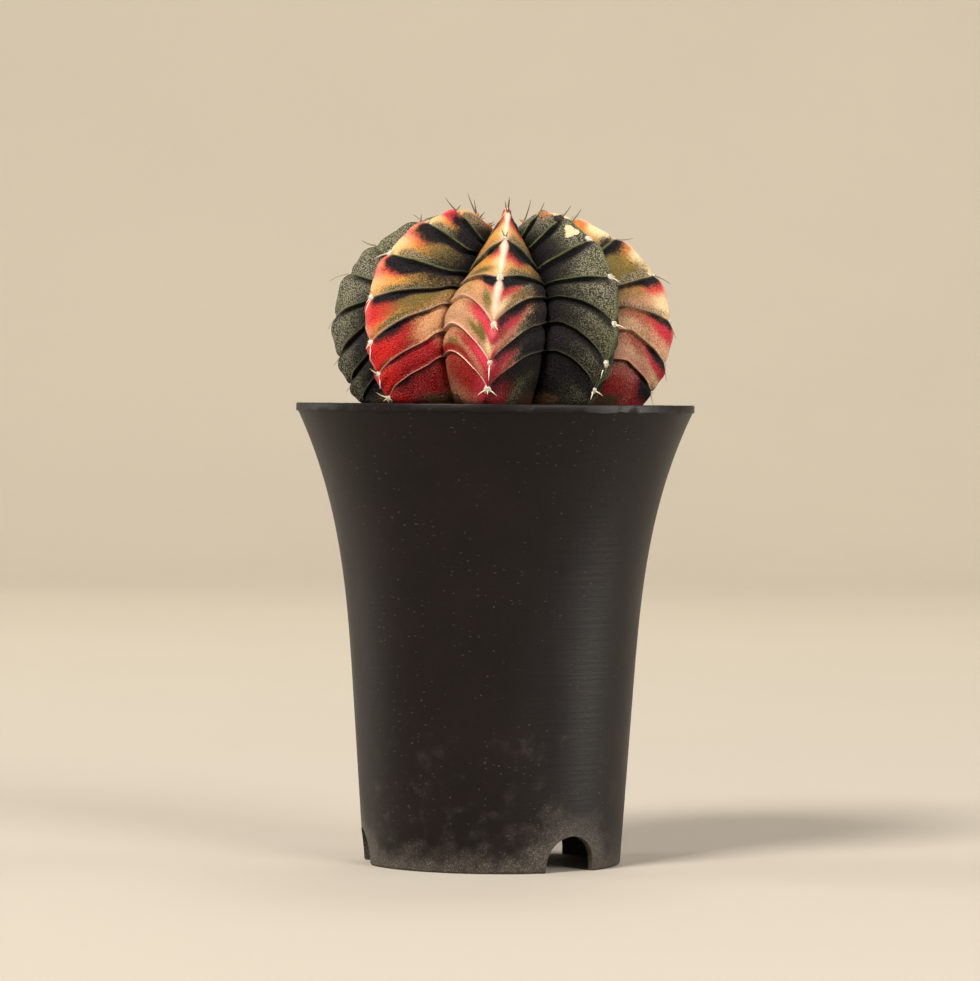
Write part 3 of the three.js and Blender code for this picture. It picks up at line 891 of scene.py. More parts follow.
@dataclass
class Pot:
    """The flared nursery pot: wall, lip, raised drained floor and a skirt with three arches."""

    height: float
    rim_radius: float
    foot_radius: float = 27.4
    taper: float = 0.0685
    flare: float = 8.8
    flare_start: float = 36.0
    wall: float = 1.1
    skirt_wall: float = 1.5
    lip_height: float = 1.7
    lip_bevel: float = 0.3
    lip_nick: Pair = (0.06, 0.08)
    lip_shoulder: float = 0.09
    inner_bevel: float = 0.15
    lip_reach: float = 2.2
    lip_pitches: Triple = (9.0, 31.0, 60.0)
    lip_sag: float = 0.28
    lip_fray: float = 0.22
    top_fray: float = 0.1
    top_wave: float = 0.06
    foot_round: float = 0.6
    floor_bottom: float = 8.5
    floor_thickness: float = 1.2
    drain_radius: float = 2.8
    drain_centre_radius: float = 4.5
    drain_ring_radius: float = 15.5
    drain_count: int = 6
    drain_segments: int = 40
    arch_count: int = 3
    arch_azimuth: float = 37.5
    arch_radius: float = 6.2
    arch_straight: float = 1.4
    arch_depth: float = 16.0
    arch_segments: int = 64
    below_foot: float = 3.0
    dust_height: float = 3.2
    dust_reach: float = 4.5
    dusty_height: float = 30.0
    map_radius: float = 34.0
    segments: int = 192
    wall_steps: int = 44
    foot_steps: int = 5

    @property
    def floor_top(self) -> float:
        """The height of the floor's upper face."""
        return self.floor_bottom + self.floor_thickness

    @property
    def lip_bottom(self) -> float:
        """The height of the lip's lower edge."""
        return self.height - self.lip_height

    def radius(self, height: float) -> float:
        """Return the wall's outer radius at a height."""
        flare = max(0.0, (height - self.flare_start) / (self.height - self.flare_start))
        return self.foot_radius + self.taper * height + self.flare * flare**3

    def profile(self) -> list[Pair]:
        """Return the section as radii and heights, from the floor's underside to its top."""
        rim, nick = self.rim_radius, self.lip_nick
        points = [
            (0.0, self.floor_bottom),
            (self.radius(self.floor_bottom) - self.skirt_wall, self.floor_bottom),
            (self.radius(0) - self.skirt_wall, 0.0),
        ]
        for i in range(self.foot_steps + 1):
            turn = i / self.foot_steps * math.pi / 2
            lift = self.foot_round * (1 - math.cos(turn))
            inset = self.foot_round * (1 - math.sin(turn))
            points.append((self.radius(lift) - inset, lift))
        for i in range(1, self.wall_steps + 1):
            height = mix(self.foot_round, self.lip_bottom, i / self.wall_steps)
            points.append((self.radius(height), height))
        points += [
            (rim - nick[0], self.lip_bottom),
            (rim, self.lip_bottom + nick[1]),
            (rim, self.height - self.lip_bevel),
            (rim - self.lip_shoulder, self.height - self.lip_shoulder),
            (rim - self.lip_bevel, self.height),
            (self.radius(self.height) - self.wall + self.inner_bevel, self.height),
        ]
        for i in range(self.wall_steps + 1):
            height = mix(self.height - self.inner_bevel, self.floor_top, i / self.wall_steps)
            points.append((self.radius(height) - self.wall, height))
        return points + [(0.0, self.floor_top)]

    def roughen_lip(self, shape: bmesh.types.BMesh) -> None:
        """Give the lip the slight waves and flash of a quick moulding, inside its own size."""
        broad, fine, torn = self.lip_pitches
        for vert in shape.verts:
            out = math.hypot(vert.co.x, vert.co.y)
            if vert.co.z < self.lip_bottom - 0.01 or out < self.rim_radius - self.lip_reach:
                continue
            around = Vector((vert.co.x, vert.co.y, 0.0)) / out
            wave = noise.noise(around * broad) + 0.5 * noise.noise(around * fine)
            fray = abs(noise.noise(around * torn + Vector((0, 0, vert.co.z))))
            outer = out > self.rim_radius - self.lip_bevel - 0.05
            if outer and vert.co.z < self.lip_bottom + 0.1:
                vert.co.z += self.lip_sag * wave
                vert.co -= around * self.lip_fray * fray
            elif vert.co.z > self.height - 0.2:
                vert.co.z -= self.top_fray * fray + self.top_wave * abs(wave)

    def cutter(self) -> bpy.types.Object:
        """Return one object that holds every arch and drain hole as a closed shape."""
        shape = bmesh.new()
        for i in range(self.arch_count):
            azimuth = math.radians(self.arch_azimuth) + 2 * math.pi * i / self.arch_count
            made = bmesh.ops.create_cone(
                shape, cap_ends=True, segments=self.arch_segments, depth=self.arch_depth,
                radius1=self.arch_radius, radius2=self.arch_radius,
                matrix=Matrix.Rotation(math.pi / 2, 4, "X"),
            )["verts"]
            for vert in made:
                upper = vert.co.z > -0.01
                vert.co.z = vert.co.z + self.arch_straight if upper else -self.below_foot
            place = Matrix.Translation(heading(azimuth) * self.foot_radius)
            bmesh.ops.transform(shape, verts=made, matrix=place @ Matrix.Rotation(azimuth, 4, "Z"))
        holes = [(Vector((0, 0, 0)), self.drain_centre_radius)]
        for i in range(self.drain_count):
            spot = heading(2 * math.pi * i / self.drain_count) * self.drain_ring_radius
            holes.append((spot, self.drain_radius))
        middle = UP * (self.floor_bottom + self.floor_thickness / 2)
        for spot, radius in holes:
            bmesh.ops.create_cone(
                shape, cap_ends=True, segments=self.drain_segments, radius1=radius,
                radius2=radius, depth=self.floor_thickness + 2,
                matrix=Matrix.Translation(spot + middle),
            )
        bmesh.ops.recalc_face_normals(shape, faces=shape.faces)
        return finish_piece(shape, "pot_cutter", bpy.data.materials.new("cutter"))

    def cut(self, body: bpy.types.Object) -> bmesh.types.BMesh:
        """Return the body with its arches and drain holes cut, and remove both objects.

        Args:
            body: the uncut pot.

        Returns:
            The cut shape, in millimetres.
        """
        tool = self.cutter()
        change = body.modifiers.new("arches", "BOOLEAN")
        change.operation = "DIFFERENCE"
        change.solver = "EXACT"
        change.object = tool
        graph = bpy.context.evaluated_depsgraph_get()
        mesh = bpy.data.meshes.new_from_object(body.evaluated_get(graph))
        shape = bmesh.new()
        shape.from_mesh(mesh)
        for leftover in (body, tool):
            used = leftover.data
            bpy.data.objects.remove(leftover)
            bpy.data.meshes.remove(used)
        bpy.data.meshes.remove(mesh)
        bmesh.ops.scale(shape, vec=TO_MILLIMETRES, verts=shape.verts)
        bmesh.ops.remove_doubles(shape, verts=shape.verts, dist=2 * MERGE_DISTANCE)
        return shape

    def dust(self, mesh: bpy.types.Mesh) -> None:
        """Store how dusty each point is: most at the foot and round the arches."""
        step = 360 / self.arch_count
        values = []
        for vert in mesh.vertices:
            x, y, z = (value / MM for value in vert.co)
            azimuth = math.degrees(math.atan2(x, -y))
            off = abs((azimuth - self.arch_azimuth + step / 2) % step - step / 2)
            away = math.hypot(math.radians(off) * self.foot_radius, z - self.arch_straight)
            near_foot = math.exp(-z / self.dust_height)
            near_arch = math.exp(-(max(0.0, away - self.arch_radius) / self.dust_reach) ** 2)
            clean = z > self.dusty_height
            values.append(0.25 + 0.75 * near_foot + 0.55 * near_arch - 0.2 * clean)
        hold(mesh, "dust", np.array(values))

    def map_wall(self, mesh: bpy.types.Mesh) -> None:
        """Give the mesh its Wall map: millimetres round the wall and up it."""
        layer = mesh.uv_layers.new(name="Wall")
        for polygon in mesh.polygons:
            centre = math.atan2(polygon.center.x, -polygon.center.y)
            for loop in polygon.loop_indices:
                co = mesh.vertices[mesh.loops[loop].vertex_index].co
                turn = math.atan2(co.x, -co.y) - centre
                turn = (turn + math.pi) % (2 * math.pi) - math.pi
                layer.data[loop].uv = (self.map_radius * (centre + turn), co.z / MM)

    def build(self, effects: Effects) -> list[bpy.types.Object]:
        """Return the finished pot, riding on the body in place of its solid."""
        material = MouldedPlastic().build(effects)
        shape = turned(self.profile(), self.segments)
        self.roughen_lip(shape)
        shape = self.cut(finish_piece(shape, "pot_body", material))
        piece = finish_piece(shape, "nursery_pot", material, sharp_angle=32.0)
        self.dust(piece.data)
        self.map_wall(piece.data)
        join_frame(piece, "pot_plastic", "pot")
        return [piece]


@dataclass
class Soil:
    """The potting mix: a crumbly top round the plant's foot, and loose grains on it."""

    pot: Pot
    plant_x: float
    plant_y: float
    below_rim: float = 7.0
    gap: float = 0.3
    hole_radius: float = 15.6
    hole_depth: float = 12.3
    mound: float = 0.9
    lump_height: float = 0.35
    crumb_height: float = 0.45
    rings: int = 44
    side_steps: int = 12
    segments: int = 220
    grains: int = 620
    grain_margin: Pair = (1.5, 1.4)
    grain_size: Pair = (0.3, 0.95)
    grain_lumps: Pair = (0.78, 1.15)
    grain_lift: float = 0.15

    @property
    def top(self) -> float:
        """The height of the soil's top before its relief."""
        return self.pot.height - self.below_rim

    def reach(self, height: float) -> float:
        """Return the soil's radius at a height, just inside the pot's wall."""
        return self.pot.radius(height) - self.pot.wall - self.gap

    def relief(self, x: float, y: float) -> float:
        """Return how far the soil stands above its plain top at a place."""
        lumps = math.sin(0.83 * x + 0.6) * math.cos(0.71 * y - 0.4)
        from_plant = math.hypot(x - self.plant_x, y - self.plant_y)
        rise = 1 - float(smoothstep(self.hole_radius, 2 * self.hole_radius, from_plant))
        crumbs = noise.fractal(Vector((x, y, 0.0)) * 0.55, 0.8, 2.1, 4)
        return self.lump_height * lumps + self.mound * rise + self.crumb_height * crumbs

    def build_bed(self, effects: Effects) -> bpy.types.Object:
        """Return the body of soil, with a hole for the plant's foot that follows its place."""
        bottom = self.pot.floor_top + self.gap
        hole_floor = self.top - self.hole_depth
        edge = self.reach(self.top)
        points = [(0.0, hole_floor), (self.hole_radius, hole_floor)]
        for i in range(self.rings + 1):
            points.append((mix(self.hole_radius, edge, i / self.rings), self.top))
        for i in range(1, self.side_steps + 1):
            height = mix(self.top, bottom, i / self.side_steps)
            points.append((self.reach(height), height))
        shape = turned(points + [(0.0, bottom)], self.segments)
        for vert in shape.verts:
            out = math.hypot(vert.co.x, vert.co.y)
            share = float(np.clip((edge - out) / (edge - self.hole_radius), 0, 1))
            if vert.co.z < hole_floor - 0.01:
                share = 0.0
            on_top = vert.co.z > self.top - 0.01
            vert.co.x += self.plant_x * share
            vert.co.y += self.plant_y * share
            if on_top:
                fading = float(smoothstep(edge, edge - 1, out))
                vert.co.z += self.relief(vert.co.x, vert.co.y) * fading
        piece = finish_piece(shape, "soil_bed", PottingMix().build(effects), sharp_angle=60.0)
        join_frame(piece, "potting_mix", "soil")
        return piece

    def build_grains(self, effects: Effects) -> bpy.types.Object:
        """Return the loose grains, as one piece."""
        chance = np.random.default_rng(SEED)
        shape = bmesh.new()
        shade = shape.verts.layers.float.new("shade")
        inner = self.hole_radius + self.grain_margin[0]
        edge = self.reach(self.top) - self.grain_margin[1]
        for _ in range(self.grains):
            turn = chance.uniform(0, 2 * math.pi)
            share = chance.uniform(0.02, 1.0) ** 0.6
            out = mix(inner, edge, share)
            x = out * math.cos(turn) + self.plant_x * (1 - share)
            y = out * math.sin(turn) + self.plant_y * (1 - share)
            size = chance.uniform(*self.grain_size)
            made = bmesh.ops.create_icosphere(shape, subdivisions=1, radius=size)["verts"]
            colour = chance.uniform(0, 1)
            for vert in made:
                vert.co *= chance.uniform(*self.grain_lumps)
                vert[shade] = colour
            squash = Matrix.Diagonal((1.0, chance.uniform(0.6, 1.0), chance.uniform(0.5, 0.8), 1.0))
            spin = Matrix.Rotation(chance.uniform(0, math.pi), 4, "Z")
            tip = Matrix.Rotation(chance.uniform(-0.5, 0.5), 4, "X")
            height = self.top + self.relief(x, y) + self.grain_lift * size
            place = Matrix.Translation((x, y, height))
            bmesh.ops.transform(shape, verts=made, matrix=place @ spin @ tip @ squash)
        piece = finish_piece(shape, "soil_grains", Crumb().build(effects), sharp_angle=25.0)
        join_frame(piece, "potting_mix", "soil")
        return piece

    def build(self, effects: Effects) -> list[bpy.types.Object]:
        """Return the bed and the grains on it."""
        return [self.build_bed(effects), self.build_grains(effects)]


@dataclass(frozen=True)
class Pigments:
    """How one flank of a rib is coloured.

    A pair gives a strength low on the plant and one near its crown.

    Attributes:
        green: dark green over the whole flank.
        inward: how far that green keeps to the groove.
        patch: the black patch under each cross ridge.
        patch_depth: how far down the segment that patch reaches.
        patch_end: how far from the crest it reaches.
        tail: how deep the dark tail is that runs on from the patch into the groove.
        shade: brown-black that grows towards the groove, partly pigment and partly painted shade.
        gloom: black over the whole flank, partly pigment and partly painted shade.
        patch_start: how near the crest the patch begins.
        fringe: the red round the patch.
        flush: red over the whole flank.
        gold: yellow over the whole flank.
        cream: a pale yellow zone along the crest.
        cream_end: how far from the crest that zone reaches.
        flesh: pink rather than tan tissue.
        olive: olive mottling towards the groove.
        verge: dark green just above each cross ridge.
        blush: pink rather than green cross ridges.
        scarlet: how far the red is scarlet rather than rose.
    """

    green: Pair = (0.0, 0.0)
    inward: float = 0.0
    patch: Pair = (0.7, 1.15)
    patch_depth: Pair = (0.16, 0.42)
    patch_end: float = 0.5
    tail: Pair = (0.1, 0.14)
    shade: Pair = (0.3, 0.95)
    gloom: Pair = (0.05, 0.0)
    patch_start: float = 0.1
    fringe: Pair = (0.5, 0.75)
    flush: Pair = (1.45, -0.1)
    gold: Pair = (0.55, 1.05)
    cream: Pair = (0.0, 0.55)
    cream_end: float = 0.36
    flesh: Pair = (0.6, 0.0)
    olive: Pair = (0.0, 0.95)
    verge: Pair = (0.35, 1.0)
    blush: Pair = (0.5, 0.0)
    scarlet: Pair = (1.0, 0.5)


class Tone(Enum):
    """The colourings that a flank can have."""

    GREEN = Pigments(
        green=(1.2, 1.2), patch=(0.7, 0.6), patch_depth=(0.12, 0.08), patch_end=1.3,
        tail=(0.0, 0.0), shade=(0.55, 0.3), gloom=(0.4, 0.0), fringe=(0.0, 0.0),
        flush=(0.0, 0.0), cream=(0.0, 0.0), verge=(0.65, 0.6), blush=(0.1, 0.0),
    )
    # A darker green, partly the flank's pigment and partly painted shade.
    NIGHT = Pigments(
        green=(1.2, 1.2), patch=(0.9, 0.9), patch_depth=(0.16, 0.14), patch_end=1.3,
        tail=(0.0, 0.0), shade=(0.4, 0.65), gloom=(0.5, 0.1), fringe=(0.0, 0.0),
        flush=(0.0, 0.0), cream=(0.0, 0.0), verge=(0.95, 0.7), blush=(0.0, 0.0),
    )
    SUNSET = Pigments()
    TAN = Pigments(
        patch=(0.2, 1.1), patch_depth=(0.06, 0.36), patch_end=0.42, tail=(0.0, 0.05),
        shade=(0.1, 0.4), flush=(0.3, -0.3), fringe=(0.25, 0.95), gold=(-0.6, 0.95),
        cream=(0.2, 0.6), flesh=(0.3, 0.0), olive=(0.25, 0.4), verge=(0.0, 0.5),
        blush=(1.0, 0.2), scarlet=(0.05, 0.5),
    )
    DUSK = Pigments(
        green=(1.0, 0.1), inward=0.9, patch=(0.7, 1.1), patch_depth=(0.25, 0.45),
        patch_end=0.6, tail=(0.1, 0.1), shade=(0.6, 0.6), gloom=(0.1, 0.0), fringe=(0.5, 0.9),
        flush=(0.6, -0.1), gold=(-0.5, 0.9), cream=(0.0, 0.5), olive=(0.45, 0.6),
        verge=(0.4, 0.9), blush=(0.15, 0.0), scarlet=(0.0, 0.5),
    )
    ROSE = Pigments(
        patch=(1.1, 1.15), patch_depth=(0.3, 0.24), patch_end=0.42, tail=(0.04, 0.12),
        patch_start=-0.05, shade=(0.0, 0.15), fringe=(1.0, 0.75), flush=(0.3, -0.3),
        gold=(-2.2, 1.1), cream=(0.8, 1.0), cream_end=0.42, flesh=(1.3, 0.3),
        olive=(0.1, 0.75), verge=(0.1, 0.95), blush=(0.4, 0.1), scarlet=(0.3, 0.6),
    )


@dataclass(frozen=True)
class Patch:
    """A spot of one pigment, or of the painted shade, that breaks a flank's own rule.

    The place is how far across the rib, from -1 to 1, and a band; the sizes are in the same
    units, and a negative strength takes the pigment away.
    """

    across: float
    band: float
    wide: float
    tall: float
    strength: float


# The odd spots of the front, by rib and pigment, and spots that add or take away painted shade.
PATCHES: dict[tuple[int, str], tuple[Patch, ...]] = {
    (1, "red"): (
        Patch(0.3, 4.4, 0.5, 0.3, 0.9), Patch(0.06, 3.7, 0.25, 0.22, 0.8),
        Patch(0.45, 0.5, 0.5, 0.35, 0.7), Patch(0.5, -0.3, 0.5, 0.35, 0.5),
        Patch(0.55, -1.3, 0.5, 0.4, 0.5),
    ),
    (1, "cream"): (Patch(1.0, -0.3, 0.4, 1.7, 0.15),),
    (1, "olive"): (
        Patch(0.3, 4.4, 0.5, 0.3, -0.8), Patch(0.55, 0.6, 0.45, 0.45, 0.6),
        Patch(0.3, 0.12, 0.2, 0.08, 0.9), Patch(0.15, -0.88, 0.12, 0.05, 0.7),
    ),
    (1, "green"): (Patch(0.5, -0.42, 0.03, 0.05, 0.5),),
    (1, "black"): (
        Patch(0.05, 3.85, 0.2, 0.2, -1.0), Patch(0.62, 3.55, 0.26, 0.42, 0.9),
        Patch(0.5, 1.6, 0.4, 0.5, 0.35), Patch(0.45, 0.9, 0.5, 0.12, 0.5),
        Patch(0.45, -0.25, 0.4, 0.3, 0.35), Patch(1.0, -0.4, 0.5, 1.9, -0.5),
        Patch(0.45, -2.5, 0.2, 0.16, 0.6),
    ),
    (1, "fold"): (Patch(1.0, -0.4, 0.5, 1.9, -1.0),),
    (2, "red"): (
        Patch(0.0, 3.7, 0.3, 0.3, 0.45), Patch(-0.45, 0.86, 0.3, 0.12, 0.5),
        Patch(-0.28, -0.2, 0.34, 0.26, 0.75), Patch(0.3, -0.2, 0.3, 0.26, 0.4),
        Patch(0.35, -0.35, 0.35, 0.35, 0.35), Patch(0.04, -0.85, 0.05, 0.15, 0.6),
        Patch(-0.3, -1.22, 0.45, 0.26, 0.75), Patch(0.02, -1.7, 0.1, 0.3, 0.9),
        Patch(-0.75, -1.8, 0.45, 0.22, 1.0), Patch(-0.5, -2.2, 0.55, 0.26, 0.85),
    ),
    (2, "deep"): (
        Patch(-0.75, -1.8, 0.45, 0.3, 1.0), Patch(-0.6, -2.2, 0.5, 0.26, 0.4),
    ),
    (2, "cream"): (
        Patch(0.1, 0.25, 0.1, 0.2, 0.6), Patch(0.0, -0.6, 0.1, 0.25, 0.7),
    ),
    (2, "olive"): (
        Patch(-0.4, 1.2, 0.3, 0.1, 0.9), Patch(-0.16, 0.33, 0.1, 0.26, 0.95),
        Patch(0.4, 0.3, 0.3, 0.2, 0.5), Patch(-0.16, -0.5, 0.09, 0.26, 0.95),
        Patch(0.14, -0.5, 0.06, 0.25, 0.5), Patch(-0.3, -0.66, 0.12, 0.12, 0.8),
        Patch(-0.68, -1.57, 0.09, 0.1, 0.9),
    ),
    (2, "green"): (
        Patch(0.6, 0.65, 0.2, 0.2, 0.7), Patch(-0.17, 0.42, 0.06, 0.14, 0.6),
        Patch(0.4, -0.3, 0.25, 0.4, -0.5),
    ),
    (2, "black"): (
        Patch(0.65, 3.8, 0.3, 0.3, 0.8), Patch(-0.65, 3.8, 0.3, 0.3, 0.8),
        Patch(-0.2, 0.85, 0.2, 0.14, 0.8), Patch(0.25, 0.85, 0.3, 0.14, 0.5),
        Patch(0.8, 0.5, 0.2, 0.4, 0.5), Patch(0.3, 0.4, 0.25, 0.3, -0.35),
        Patch(0.27, 0.32, 0.07, 0.09, 0.7), Patch(0.8, -0.5, 0.25, 0.6, 0.3),
        Patch(0.7, -1.6, 0.4, 0.5, 0.5),
    ),
    (3, "red"): (Patch(-0.05, 3.5, 0.3, 0.35, 0.5),),
    (3, "gold"): (Patch(-0.05, 3.5, 0.3, 0.35, 0.8),),
    (3, "green"): (
        Patch(-0.05, 3.5, 0.3, 0.35, -0.8), Patch(0.0, 0.4, 0.7, 1.5, 0.4),
    ),
    # Black by the groove high on its left flank: painted shadow that the rib on its left casts.
    (3, "black"): (Patch(-0.8, 2.4, 0.5, 1.0, 0.4),),
    (3, "fold"): (
        Patch(-0.6, 3.0, 0.6, 0.9, 0.3), Patch(-0.5, -2.2, 0.8, 1.8, 0.3),
    ),
    (3, "scar"): (
        Patch(-0.14, 2.54, 0.07, 0.1, 1.1), Patch(-0.23, 2.38, 0.07, 0.1, 1.1),
        Patch(-0.11, 2.34, 0.06, 0.09, 1.1),
    ),
    (4, "red"): (
        Patch(-0.2, 0.7, 0.7, 0.2, 0.25), Patch(-0.7, -0.25, 0.35, 0.3, 0.4),
        Patch(-0.35, -0.5, 0.5, 0.5, 0.35), Patch(-0.6, -1.0, 0.8, 1.4, 0.25),
        Patch(-0.7, -1.25, 0.35, 0.3, 0.5), Patch(-0.85, -2.2, 0.4, 0.5, -0.25),
        Patch(-0.9, -2.4, 0.5, 0.4, 1.0),
    ),
    (4, "deep"): (Patch(-0.9, -2.4, 0.5, 0.4, 0.3),),
    (4, "cream"): (Patch(-0.6, -0.8, 0.7, 1.3, 0.7),),
    (4, "olive"): (
        Patch(-0.4, 1.65, 0.4, 0.3, 0.5), Patch(-0.2, 1.25, 0.4, 0.15, 0.5),
    ),
    (4, "black"): (
        Patch(-0.1, 2.8, 0.3, 0.25, -1.0), Patch(-0.3, 2.05, 0.4, 0.1, 0.8),
        Patch(-0.27, 1.4, 0.05, 0.06, 0.7), Patch(-0.5, 0.2, 0.5, 0.6, -0.35),
        Patch(-0.75, -0.6, 0.35, 0.5, -0.8),
    ),
    (4, "fold"): (Patch(-0.7, 0.0, 0.5, 1.7, -0.8),),
}


@dataclass(frozen=True)
class Rib:
    """One rib of the plant.

    The azimuth and the slant over the height are in degrees, the shift is the fraction of a
    band by which its areoles sit above a whole band, and stout scales its radius.  Each
    chevron says how quickly its cross ridges climb on that flank, top_shift moves its topmost
    areoles further, and swing turns the groove on its right, in degrees, towards the crown.
    Each fall says how far that flank has sunk at the waist where it meets the groove.
    """

    azimuth: float
    slant: float
    shift: float
    stout: float
    left: Tone
    right: Tone
    left_chevron: float = 0.5
    right_chevron: float = 0.5
    top_shift: float = 0.0
    swing: float = 0.0
    left_fall: float = 0.62
    right_fall: float = 0.62
    stripe: float = 0.3
    keel: float = 0.0


# From the plant's left edge round by the front; the third one faces the front.
RIBS = (
    Rib(-91.5, -3, -0.9, 0.985, Tone.GREEN, Tone.GREEN, 0.3, 0.0, -0.3, stripe=0.0, keel=0.6),
    Rib(-48, 0, -0.62, 1.027, Tone.DUSK, Tone.SUNSET, 0.2, 0.45, 0.1, 7, left_fall=0.8,
        stripe=0.15),
    Rib(-2, 3, -0.17, 1.022, Tone.TAN, Tone.DUSK, 1.0, 1.0, 0.3, 1, stripe=1.1),
    Rib(41, 3, 0, 1.0, Tone.NIGHT, Tone.GREEN, 0.85, 0.4, right_fall=0.92, stripe=0.0,
        keel=0.6),
    Rib(81, -3, 0.22, 1.015, Tone.ROSE, Tone.SUNSET, 0.0, 0.3, stripe=0.7),
    Rib(127, 0, -0.08, 0.99, Tone.SUNSET, Tone.DUSK, 0.5, 0.4, 0.0, -2, stripe=0.6),
    Rib(175, 2, -0.36, 1.0, Tone.GREEN, Tone.TAN, 0.5, 0.5, 0.1, 3, stripe=0.4),
    Rib(222, -1, -0.65, 1.01, Tone.ROSE, Tone.GREEN, 0.4, 0.3, stripe=0.3, keel=0.3),
)


@dataclass
class StemForm:
    """The rule that gives every point of the ribbed globe, in bands up it and ribs round it.

    A pair that ends in _place says how far below a cross ridge something lies, and its width.
    """

    rim_height: float
    plant_x: float = 0.3
    plant_y: float = -1.2
    lean_back: float = math.radians(2.5)
    lean_right: float = math.radians(1.6)
    waist_height: float = 16.2
    crest_radius: float = 36.2
    crest_rise: float = 25.5
    groove_radius: float = 24.8
    groove_rise: float = 16.0
    under_drop: float = 29.5
    shoulder: float = 0.94
    apex_height: float = 36.5
    foot_radius: float = 15.0
    foot_height: float = -5.5
    ridge_height: float = 0.45
    ridge_width: float = 0.05
    recess_depth: float = 0.65
    recess_place: Pair = (0.11, 0.08)
    swell_height: float = 0.35
    swell_place: Pair = (0.6, 0.3)
    notch_depth: float = 0.5
    notch_width: float = 0.1
    chin_height: float = 0.5
    chin_place: Pair = (0.28, 0.2)
    last_ridge: Pair = (4.1, 4.6)
    normal_step: float = 0.02

    @staticmethod
    def rib_at(around: np.ndarray) -> tuple[np.ndarray, np.ndarray, np.ndarray, np.ndarray]:
        """Return the nearest rib, its neighbour, how far across and on which side.

        Args:
            around: places round the plant, with each rib's crest at a whole number.

        Returns:
            The rib's and the neighbour's numbers, the place across the rib from -1 to 1,
            and the side as -1 or 1.
        """
        nearest = np.round(around)
        across = 2 * (around - nearest)
        side = np.where(across < 0, -1, 1)
        rib = nearest.astype(int) % len(RIBS)
        return rib, (rib + side) % len(RIBS), across, side

    @staticmethod
    def of_rib(name: str, rib: np.ndarray) -> np.ndarray:
        """Return one of the ribs' values for each rib number."""
        return np.array([getattr(each, name) for each in RIBS], float)[rib]

    @staticmethod
    def latitude_of(band: np.ndarray) -> np.ndarray:
        """Return a cross ridge's latitude, in degrees above the waist.

        The ridges are evenly spaced about the waist and crowd together towards the crown,
        which they near and never reach.
        """
        low = 19.66 * band + 3.42 * band**2 + 0.34 * band**3
        middle = 19.66 * band + 3.37 * band**2 - 0.93 * band**3
        crown, crown_start, crown_band, slope = 90, 64.2, 3, 14.8
        left = crown - crown_start
        high = crown - left * np.exp(-slope / left * (band - crown_band))
        return np.where(band < 0, low, np.where(band < crown_band, middle, high))

    def chevron_lift(self, latitude: np.ndarray, around: np.ndarray) -> np.ndarray:
        """Return how far a cross ridge climbs, in degrees, from the crest into the groove."""
        rib, neighbour, across, side = self.rib_at(around)
        inward = np.abs(across)
        flanks = ("left_chevron", "right_chevron")
        left, right = (self.of_rib(name, rib) for name in flanks)
        own = np.where(side > 0, right, left)
        left, right = (self.of_rib(name, neighbour) for name in flanks)
        facing = np.where(side > 0, left, right)
        steep = mix(own, (own + facing) / 2, smoothstep(0.6, 1, inward))
        slow = mix(14, -3, smoothstep(-16, 36, latitude)) * (1 - (1 - inward) ** 1.5)
        quick = mix(18, -4, smoothstep(-12, 44, latitude)) * (1 - (1 - inward) ** 2.4)
        return mix(slow, quick, steep) * (1 - smoothstep(50, 90, latitude))

    def rib_depth(self, around: np.ndarray, latitude: np.ndarray) -> np.ndarray:
        """Return how far out the skin stands: 1 on the crest and 0 in the groove."""
        rib, _, across, turn = self.rib_at(around)
        left, right = self.of_rib("left_fall", rib), self.of_rib("right_fall", rib)
        side = np.sqrt(across**2 + 0.004) - math.sqrt(0.004)
        waist = 1 - smoothstep(18, 42, -latitude) - smoothstep(8, 42, latitude)
        fall = mix(0.98, mix(0.95, np.where(turn > 0, right, left), waist), side)
        return (1 - fall * side) * np.sqrt(np.maximum(0, 1 - np.abs(across) ** 20))

    def band_latitude(self, around: np.ndarray, band: np.ndarray) -> np.ndarray:
        """Return the latitude of a band where it crosses a place round the plant."""
        rib, neighbour, across, _ = self.rib_at(around)
        near_top = smoothstep(1.8, 3.0, band)
        own = self.of_rib("shift", rib) + near_top * self.of_rib("top_shift", rib)
        other = self.of_rib("shift", neighbour) + near_top * self.of_rib("top_shift", neighbour)
        shift = mix(own, (own + other) / 2, smoothstep(0.75, 1, np.abs(across)))
        return self.latitude_of(band + shift)

    def body_point(self, around: np.ndarray, crest_latitude: np.ndarray) -> np.ndarray:
        """Return points of the smooth ribbed body.

        Args:
            around: places round the plant.
            crest_latitude: latitudes in degrees, before the ridges' climb.

        Returns:
            One row of x, y and height for each, about the plant's axis at the rim.
        """
        rib, neighbour, across, side = self.rib_at(around)
        latitude = crest_latitude + self.chevron_lift(crest_latitude, around)
        angle = np.radians(latitude)
        own = self.of_rib("azimuth", rib)
        turn = self.of_rib("azimuth", neighbour) - own
        turn = np.where(turn * side < 0, turn + 360 * side, turn)
        slant = self.of_rib("slant", rib) * (1 - np.abs(across)) * latitude / 45
        swing = np.where(side > 0, self.of_rib("swing", rib), self.of_rib("swing", neighbour))
        half_turn = turn / 2 + swing * smoothstep(-8, 32, latitude)
        azimuth = np.radians(own + half_turn * np.abs(across) + slant)

        low = latitude < 0
        rise = np.where(low, self.under_drop, self.crest_rise)
        groove_rise = np.where(low, self.under_drop, self.groove_rise)
        fullness = np.where(low, 1.0, self.shoulder)
        depth = self.rib_depth(around, latitude)
        reach = np.maximum(0, np.cos(angle)) ** fullness
        climb = np.sign(angle) * np.abs(np.sin(angle)) ** fullness
        crest = self.crest_radius * self.of_rib("stout", rib)
        radius = mix(self.groove_radius, crest, depth) * reach
        height = self.waist_height + mix(groove_rise, rise, depth) * climb
        height = mix(height, self.apex_height, smoothstep(72, 90, latitude))
        foot = 1 - smoothstep(self.foot_height, 0, height)
        radius = mix(radius, self.foot_radius, foot)

